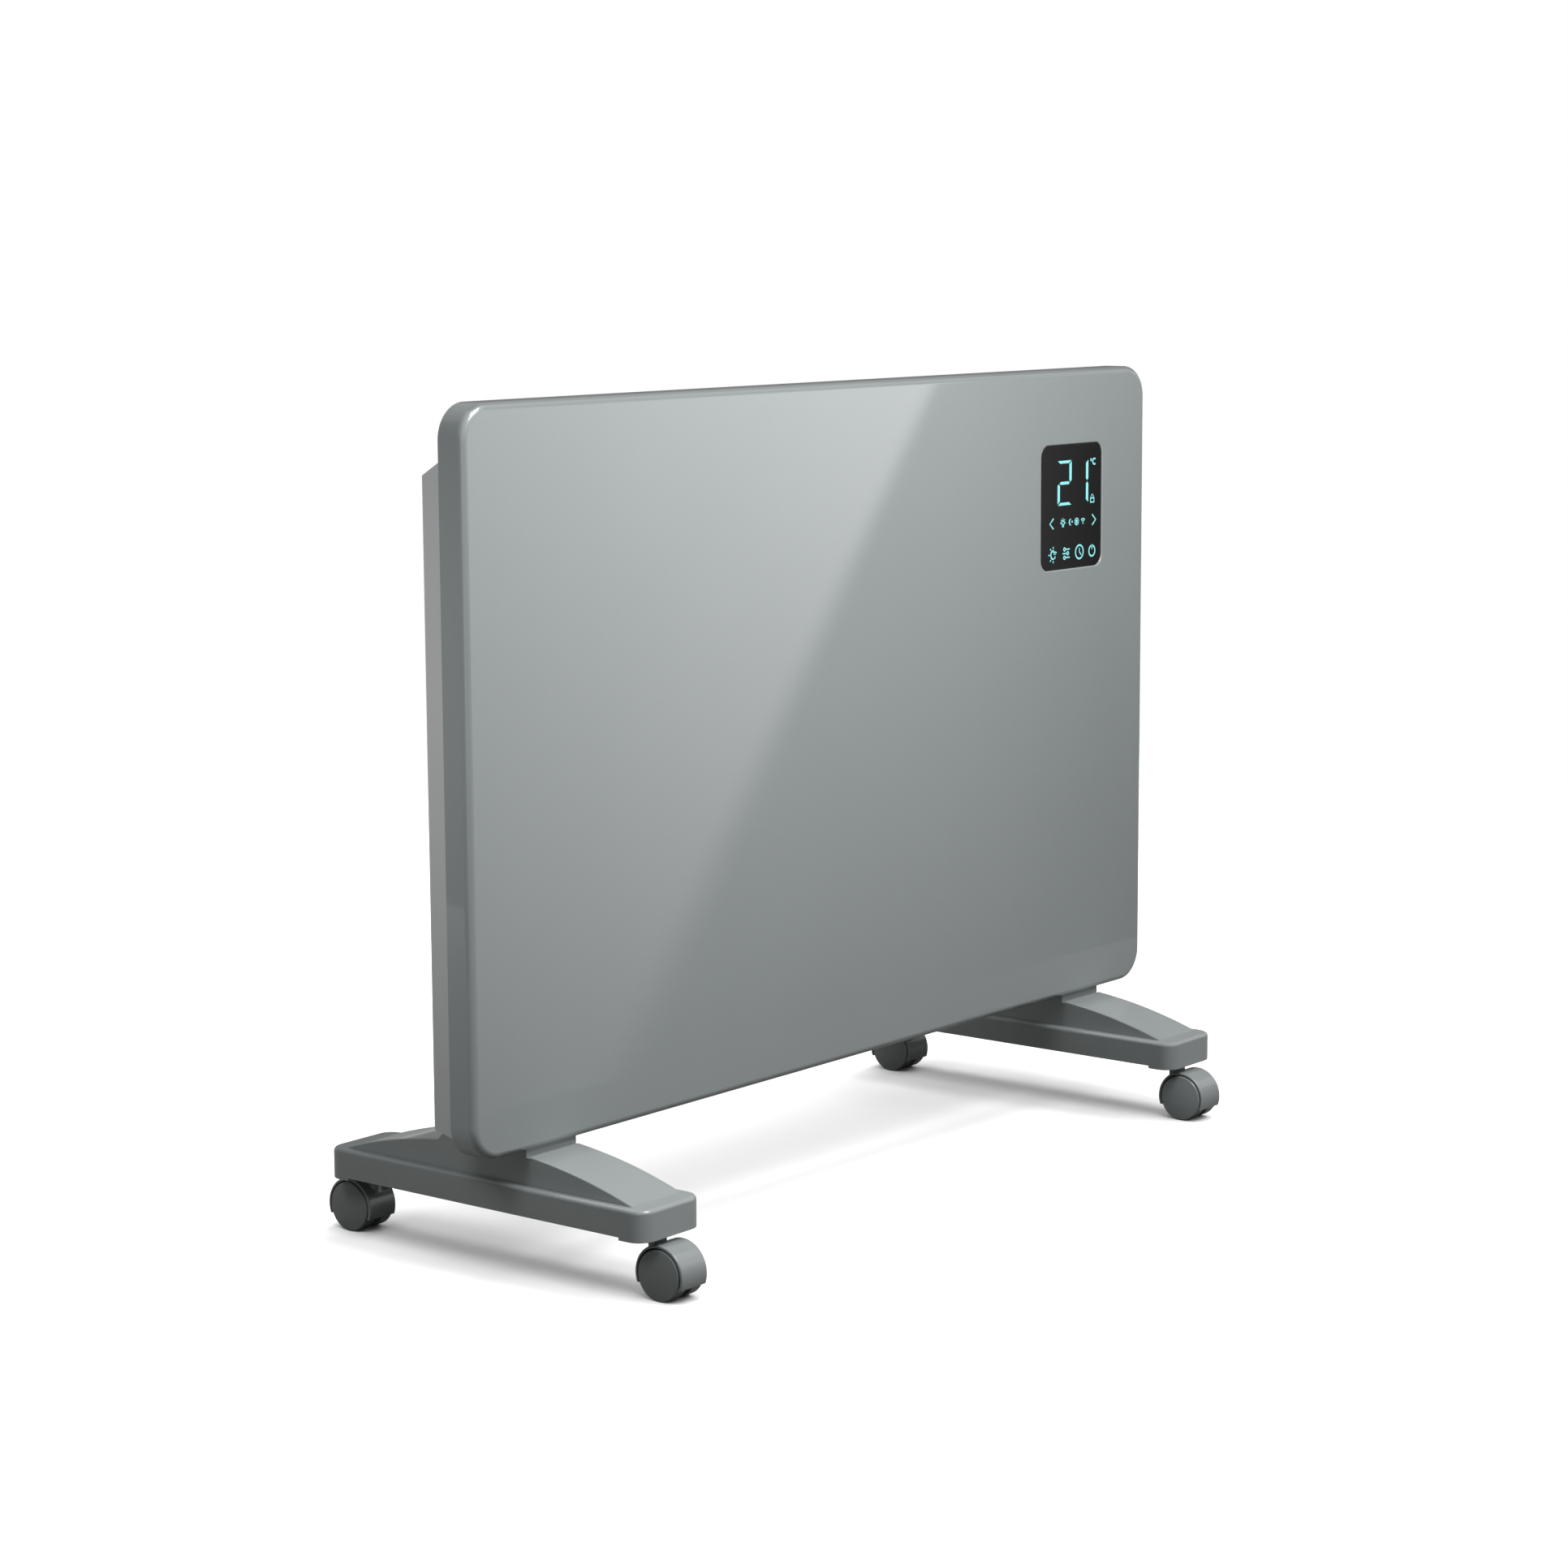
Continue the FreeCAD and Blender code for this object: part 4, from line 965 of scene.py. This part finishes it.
def housing_screws():
    """Screws that hold the housing's flange to the shell."""
    model = screw_model()
    low, high = shell_low, shell_high
    inset = 6.5
    face = high.y + 1.0
    width, middle, height = (high.x - low.x), (low.z + high.z) / 2, high.z - low.z
    places = [(x, z) for z in (low.z + inset, high.z - inset) for x in (-width / 3, 0, width / 3)]
    places += [(side * (high.x - inset), middle + z) for side in (-1, 1) for z in (-height / 5, height / 5)]
    for index, (x, z) in enumerate(places):
        screw = copy_of(model, "housing_screw_%d" % (index + 1),
                        Matrix.Translation(Vector((x, face, z)) * MM)
                        @ Matrix.Rotation(math.radians(37.0 * index), 4, "Y"))
        paint(screw, "zinc_steel")
        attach(screw, "heater")
    bpy.data.objects.remove(model, do_unlink=True)


def foot_screws():
    """Four screws, up through the feet's bosses into the plates in the housing."""
    plate_top = box_mm("foot_nut_plate_left")[1].z
    for name in ("left", "right"):
        low, high = box_mm("foot_" + name)
        seat = low.z + NECK_RISE - BOSS_DEPTH
        for index, side in enumerate((-1, 1)):
            screw = screw_model()
            screw.data.transform(Matrix.Rotation(-math.pi / 2, 4, "X"))
            shank = add_drum("shank", 2.0, (0, 0, -0.5), (0, 0, plate_top + 2 - seat), 32)
            screw = join("foot_screw_%s_%d" % (name, index + 1), [screw, shank])
            screw.data.transform(Matrix.Translation(Vector(((low.x + high.x) / 2 + side * SCREW_SPACING / 2,
                                                            SCREW_Y, seat)) * MM))
            paint(screw, "zinc_steel")
            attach(screw, "heater")


front_shell()
display_window()
display_symbols()
housing_screws()
for side_name in ("left", "right"):
    foot(side_name)
foot_screws()
grille_slats()
castors()
rear_housing()


# ------------------------------------------------------------------ room, lights and camera
CAMERA_PLACE = Vector((-2.2027, -1.7521, 0.7268))
AMBIENT = 0.2               # light from all round
FLOOR_REACH = (1.3, 2.3)    # where the floor starts and ends to melt into the background
FLOOR_WHITE = 1.7           # brightness of the open floor to the eye
FLOOR_MIRRORED = 0.34       # the same in reflections, and for its bounce
FLOOR_BOUNCE = 0.04
FLAG = (0.25, 0.60)         # glow of the board in the gloss, low and high, and how it falls off on the right
FLAG_END = 0.1
FLAG_FALL = (0.10, 0.42)
GLOW = 2.65                  # glow of the bright part, at its top
GLOW_REACH = (0.10, 0.80)   # how far it fades out to the left, low and high
EDGE_LOW = (-0.335, 0.045)  # two points of its slanting edge, across and up on the front
EDGE_HIGH = (0.115, 0.609)
EDGE_SOFTNESS = (0.050, 0.014)
BOARD_ROOM = (0.0, 2.4, -0.6, 3.0, -1.5, 2.4)
WALL_LEVEL = 0.18
ROOF_LEVEL = 0.30
BOARD_EDGES = ((0.07, -0.36), (0.70, -1.1))    # height on the front and depth in the room, low and high


def shader_node(tree, kind, *inputs):
    """Shader node whose inputs are sockets or plain values, in order."""
    made = tree.nodes.new(kind)
    for socket, value in zip(made.inputs, inputs):
        if isinstance(value, bpy.types.NodeSocket):
            tree.links.new(value, socket)
        elif value is not None:
            socket.default_value = value
    return made.outputs[0]


def grey(level):
    return (level, level, level, 1.0)


def lamp(name, place, target, width, height, power, receivers, in_gloss=False):
    """Softbox that lights only what its receivers name."""
    data = bpy.data.lights.new(name, "AREA")
    data.shape = "RECTANGLE"
    data.size = width
    data.size_y = height
    data.energy = power
    body = bpy.data.objects.new(name, data)
    bpy.context.collection.objects.link(body)
    body.location = place
    body.rotation_euler = (Vector(target) - Vector(place)).to_track_quat("-Z", "Y").to_euler()
    body.visible_camera = False
    body.visible_glossy = in_gloss
    body.light_linking.receiver_collection = receivers


# Far softboxes that light the floor alone: slope of their light, angle they span, and their share
FLOOR_SUNS = [((across, ahead), angle, 0.8 * share)
              for across, angle in ((-0.364, 32.0), (0.287, 26.0))
              for ahead, share in ((-0.90, 0.25), (-0.45, 0.25), (-0.05, 0.40), (0.35, 0.10))]
FLOOR_SUNS += [((-1.73, 0.0), 40.0, 0.22), ((1.73, 0.0), 40.0, 0.22)]
OPEN_FLOOR_LIGHT = AMBIENT + sum(share for slope, angle, share in FLOOR_SUNS)


def floor_sun(name, slope, angle, share, receivers):
    data = bpy.data.lights.new(name, "SUN")
    data.angle = math.radians(angle)
    toward = Vector((slope[0], slope[1], 1.0))
    data.energy = share * math.pi * toward.length
    body = bpy.data.objects.new(name, data)
    bpy.context.collection.objects.link(body)
    body.rotation_euler = toward.to_track_quat("Z", "Y").to_euler()
    body.visible_glossy = False
    body.light_linking.receiver_collection = receivers


def stage_floor():
    """Pale floor that keeps the shadows and melts into the white background."""
    deselect()
    bpy.ops.mesh.primitive_circle_add(vertices=96, radius=FLOOR_REACH[1] + 0.1, fill_type="NGON")
    floor = named("studio_floor")
    finish = Finish("pale_floor")
    tree = finish.tree
    path = tree.nodes.new("ShaderNodeLightPath")
    mirrored = finish.node("ShaderNodeMath", {"operation": "MAXIMUM"},
                           {0: Value(finish, path.outputs["Is Glossy Ray"]),
                            1: Value(finish, path.outputs["Is Transmission Ray"])})
    bounced, reflected, seen = (shader_node(tree, "ShaderNodeBsdfDiffuse", grey(level / OPEN_FLOOR_LIGHT))
                                for level in (FLOOR_BOUNCE, FLOOR_MIRRORED, FLOOR_WHITE))
    indirect = shader_node(tree, "ShaderNodeMixShader", mirrored.socket, bounced, reflected)
    every = shader_node(tree, "ShaderNodeMixShader", path.outputs["Is Camera Ray"], indirect, seen)
    away = finish.node("ShaderNodeVectorMath", {"operation": "LENGTH"}, {0: finish.place}, output="Value")
    fade = finish.node("ShaderNodeMapRange", {"interpolation_type": "SMOOTHSTEP"},
                       {"Value": away, "From Min": FLOOR_REACH[0], "From Max": FLOOR_REACH[1]})
    clear = shader_node(tree, "ShaderNodeBsdfTransparent")
    whole = shader_node(tree, "ShaderNodeMixShader", fade.socket, every, clear)
    tree.links.new(whole, tree.nodes["Material Output"].inputs["Surface"])
    floor.data.materials.append(finish.material)
    only_floor = bpy.data.collections.new("lit_floor")
    only_floor.objects.link(floor)
    all_but_floor = bpy.data.collections.new("lit_heater")
    all_but_floor.objects.link(floor)
    all_but_floor.collection_objects[0].light_linking.link_state = "EXCLUDE"
    only_casing = bpy.data.collections.new("lit_casing")
    only_feet = bpy.data.collections.new("lit_feet")
    only_feet.objects.link(floor)
    for name in ("front_shell_sheet", "rear_housing_sheet"):
        only_casing.objects.link(bpy.data.objects[name])
        only_feet.objects.link(bpy.data.objects[name])
    only_right_foot = bpy.data.collections.new("lit_right_foot")
    only_right_foot.objects.link(bpy.data.objects["foot_moulding_right"])
    all_but_right_foot = bpy.data.collections.new("lit_heater_without_right_foot")
    for kept_dark in (floor, bpy.data.objects["foot_moulding_right"]):
        all_but_right_foot.objects.link(kept_dark)
    for collection in (only_feet, all_but_right_foot):
        for kept_dark in collection.collection_objects:
            kept_dark.light_linking.link_state = "EXCLUDE"
    return only_floor, all_but_floor, only_casing, only_feet, only_right_foot, all_but_right_foot


def studio_world():
    """White to the eye and in reflections, softer as a light."""
    world = bpy.data.worlds.new("studio")
    bpy.context.scene.world = world
    world.use_nodes = True
    tree = world.node_tree
    background = tree.nodes["Background"]
    background.inputs["Color"].default_value = grey(1.0)
    path = tree.nodes.new("ShaderNodeLightPath")
    seen = path.outputs["Is Camera Ray"]
    for other in ("Is Glossy Ray", "Is Transmission Ray"):
        either = tree.nodes.new("ShaderNodeMath")
        either.operation = "MAXIMUM"
        tree.links.new(seen, either.inputs[0])
        tree.links.new(path.outputs[other], either.inputs[1])
        seen = either.outputs[0]
    level = tree.nodes.new("ShaderNodeMapRange")
    level.inputs["To Min"].default_value = AMBIENT
    tree.links.new(seen, level.inputs["Value"])
    tree.links.new(level.outputs[0], background.inputs["Strength"])


def mirrored_eye():
    """Where the eye seems to be, seen in the flat front."""
    return Vector((CAMERA_PLACE.x, 2 * shell_low.y * MM - CAMERA_PLACE.y, CAMERA_PLACE.z))


def mirrored_point(x, z, y):
    """Where, on the plane at y, the eye sees a reflection in the flat front at (x, z)."""
    eye, spot = mirrored_eye(), Vector((x, shell_low.y * MM, z))
    return eye + (spot - eye) * ((eye.y - y) / (eye.y - spot.y))


def board(name, corners, strength):
    """Card that shows only in the gloss, from the corners of its lower and upper edge."""
    deselect()
    bpy.ops.mesh.primitive_plane_add(size=1)
    made = named(name)
    for vertex, corner in zip(made.data.vertices, corners):
        vertex.co = corner
    finish = Finish(name)
    glow = finish.node("ShaderNodeEmission", None,
                       {"Color": grey(1.0), "Strength": strength(finish) if callable(strength) else strength})
    finish.tree.links.new(glow.socket, finish.tree.nodes["Material Output"].inputs["Surface"])
    made.data.materials.append(finish.material)
    made.visible_camera = False
    made.visible_diffuse = False
    made.visible_shadow = False
    made.visible_transmission = False


def slanting_light(finish):
    """Bright left of a slanting edge and darker on the right, by the place where the front shows it."""
    eye = mirrored_eye()
    x, y, z = (finish.node("ShaderNodeSeparateXYZ", None, {0: finish.place}, output=axis) for axis in range(3))
    nearer = (eye.y - shell_low.y * MM) / (eye.y - y)
    across = (x - eye.x) * nearer + eye.x
    up = (z - eye.z) * nearer + eye.z
    rise = (up - EDGE_LOW[1]) / (EDGE_HIGH[1] - EDGE_LOW[1])
    beside = across - rise * (EDGE_HIGH[0] - EDGE_LOW[0]) - EDGE_LOW[0]
    half = finish.between(EDGE_SOFTNESS[0], EDGE_SOFTNESS[1], rise)
    lit = finish.node("ShaderNodeMapRange", {"interpolation_type": "SMOOTHSTEP"},
                      {"Value": beside, "From Min": 0 - half, "From Max": half, "To Min": 1.0, "To Max": 0.0})
    fading = finish.node("ShaderNodeMapRange", None,
                         {"Value": beside, "From Min": 0 - finish.between(GLOW_REACH[0], GLOW_REACH[1], rise),
                          "From Max": 0.0, "To Min": 0.0})
    strong = finish.node("ShaderNodeMath", {"operation": "MAXIMUM"}, {0: rise, 1: 0.0})
    flag = finish.node("ShaderNodeMapRange", {"interpolation_type": "SMOOTHSTEP"},
                       {"Value": across, "From Min": FLAG_FALL[0], "From Max": FLAG_FALL[1],
                        "To Min": finish.between(FLAG[0], FLAG[1], rise), "To Max": FLAG_END})
    return strong * fading * lit * GLOW + flag


def studio_boards():
    corners = [mirrored_point(x, z, y) for z, y in BOARD_EDGES for x in (-1.3, 1.1)]
    board("front_board", corners, slanting_light)
    low, high, near, back, left, right = BOARD_ROOM
    board("left_board", [(left, near, low), (left, back, low), (left, near, high), (left, back, high)], FLAG_END)
    board("right_board", [(right, near, low), (right, back, low), (right, near, high), (right, back, high)], WALL_LEVEL)
    board("rear_board", [(left, back, low), (right, back, low), (left, back, high), (right, back, high)], WALL_LEVEL)
    board("roof_board", [(left, near, high), (right, near, high), (left, back, high), (right, back, high)], ROOF_LEVEL)


floor_only, heater_only, casing_only, feet_only, right_foot_only, not_right_foot = stage_floor()
studio_world()
studio_boards()
for index, (slope, angle, share) in enumerate(FLOOR_SUNS):
    floor_sun("floor_softbox_%d" % (index + 1), slope, angle, share, floor_only)
lamp("front_softbox", (-0.07, -0.95, 1.5), (-0.07, -0.05, 0.35), 0.7, 0.7, 26.0, not_right_foot, in_gloss=True)
lamp("front_right_softbox", (0.5, -0.95, 1.5), (0.33, -0.05, 0.05), 0.7, 0.7, 22.5, right_foot_only)
lamp("overhead_softbox", (0, -0.15, 2.6), (0, -0.1, 0), 0.7, 0.7, 7.6, feet_only)
lamp("left_softbox", (-0.80, 0.10, 0.44), (-0.4, -0.02, 0.42), 0.25, 0.25, 0.85, casing_only)
lamp("high_left_softbox", (-1.3, -0.2, 1.1), (-0.36, -0.02, 0.05), 0.4, 0.4, 3.6, feet_only)
lamp("rear_softbox", (0.3, 2.4, 0.45), (0, 0, 0.35), 1.2, 0.5, 24.0, heater_only)
lamp("right_softbox", (1.8, 0.3, 0.7), (0.4, 0, 0.35), 0.8, 0.6, 6.0, heater_only)

LENS = 84.53
CAMERA_RIGHT = Vector((0.62476567, -0.78079513, -0.00517832))
CAMERA_UP = Vector((0.1187464, 0.08845783, 0.98897649))
CAMERA_BACK = Vector((-0.77172997, -0.61849347, 0.14798202))


def studio_camera():
    data = bpy.data.cameras.new("camera")
    data.lens = LENS
    data.sensor_width = 36.0
    data.clip_start = 0.05
    camera = bpy.data.objects.new("camera", data)
    bpy.context.collection.objects.link(camera)
    turn = Matrix((CAMERA_RIGHT, CAMERA_UP, CAMERA_BACK)).transposed()
    camera.matrix_world = Matrix.Translation(CAMERA_PLACE) @ turn.to_4x4()
    bpy.context.scene.camera = camera


studio_camera()

view_settings = bpy.context.scene.view_settings
view_settings.view_transform = "Standard"
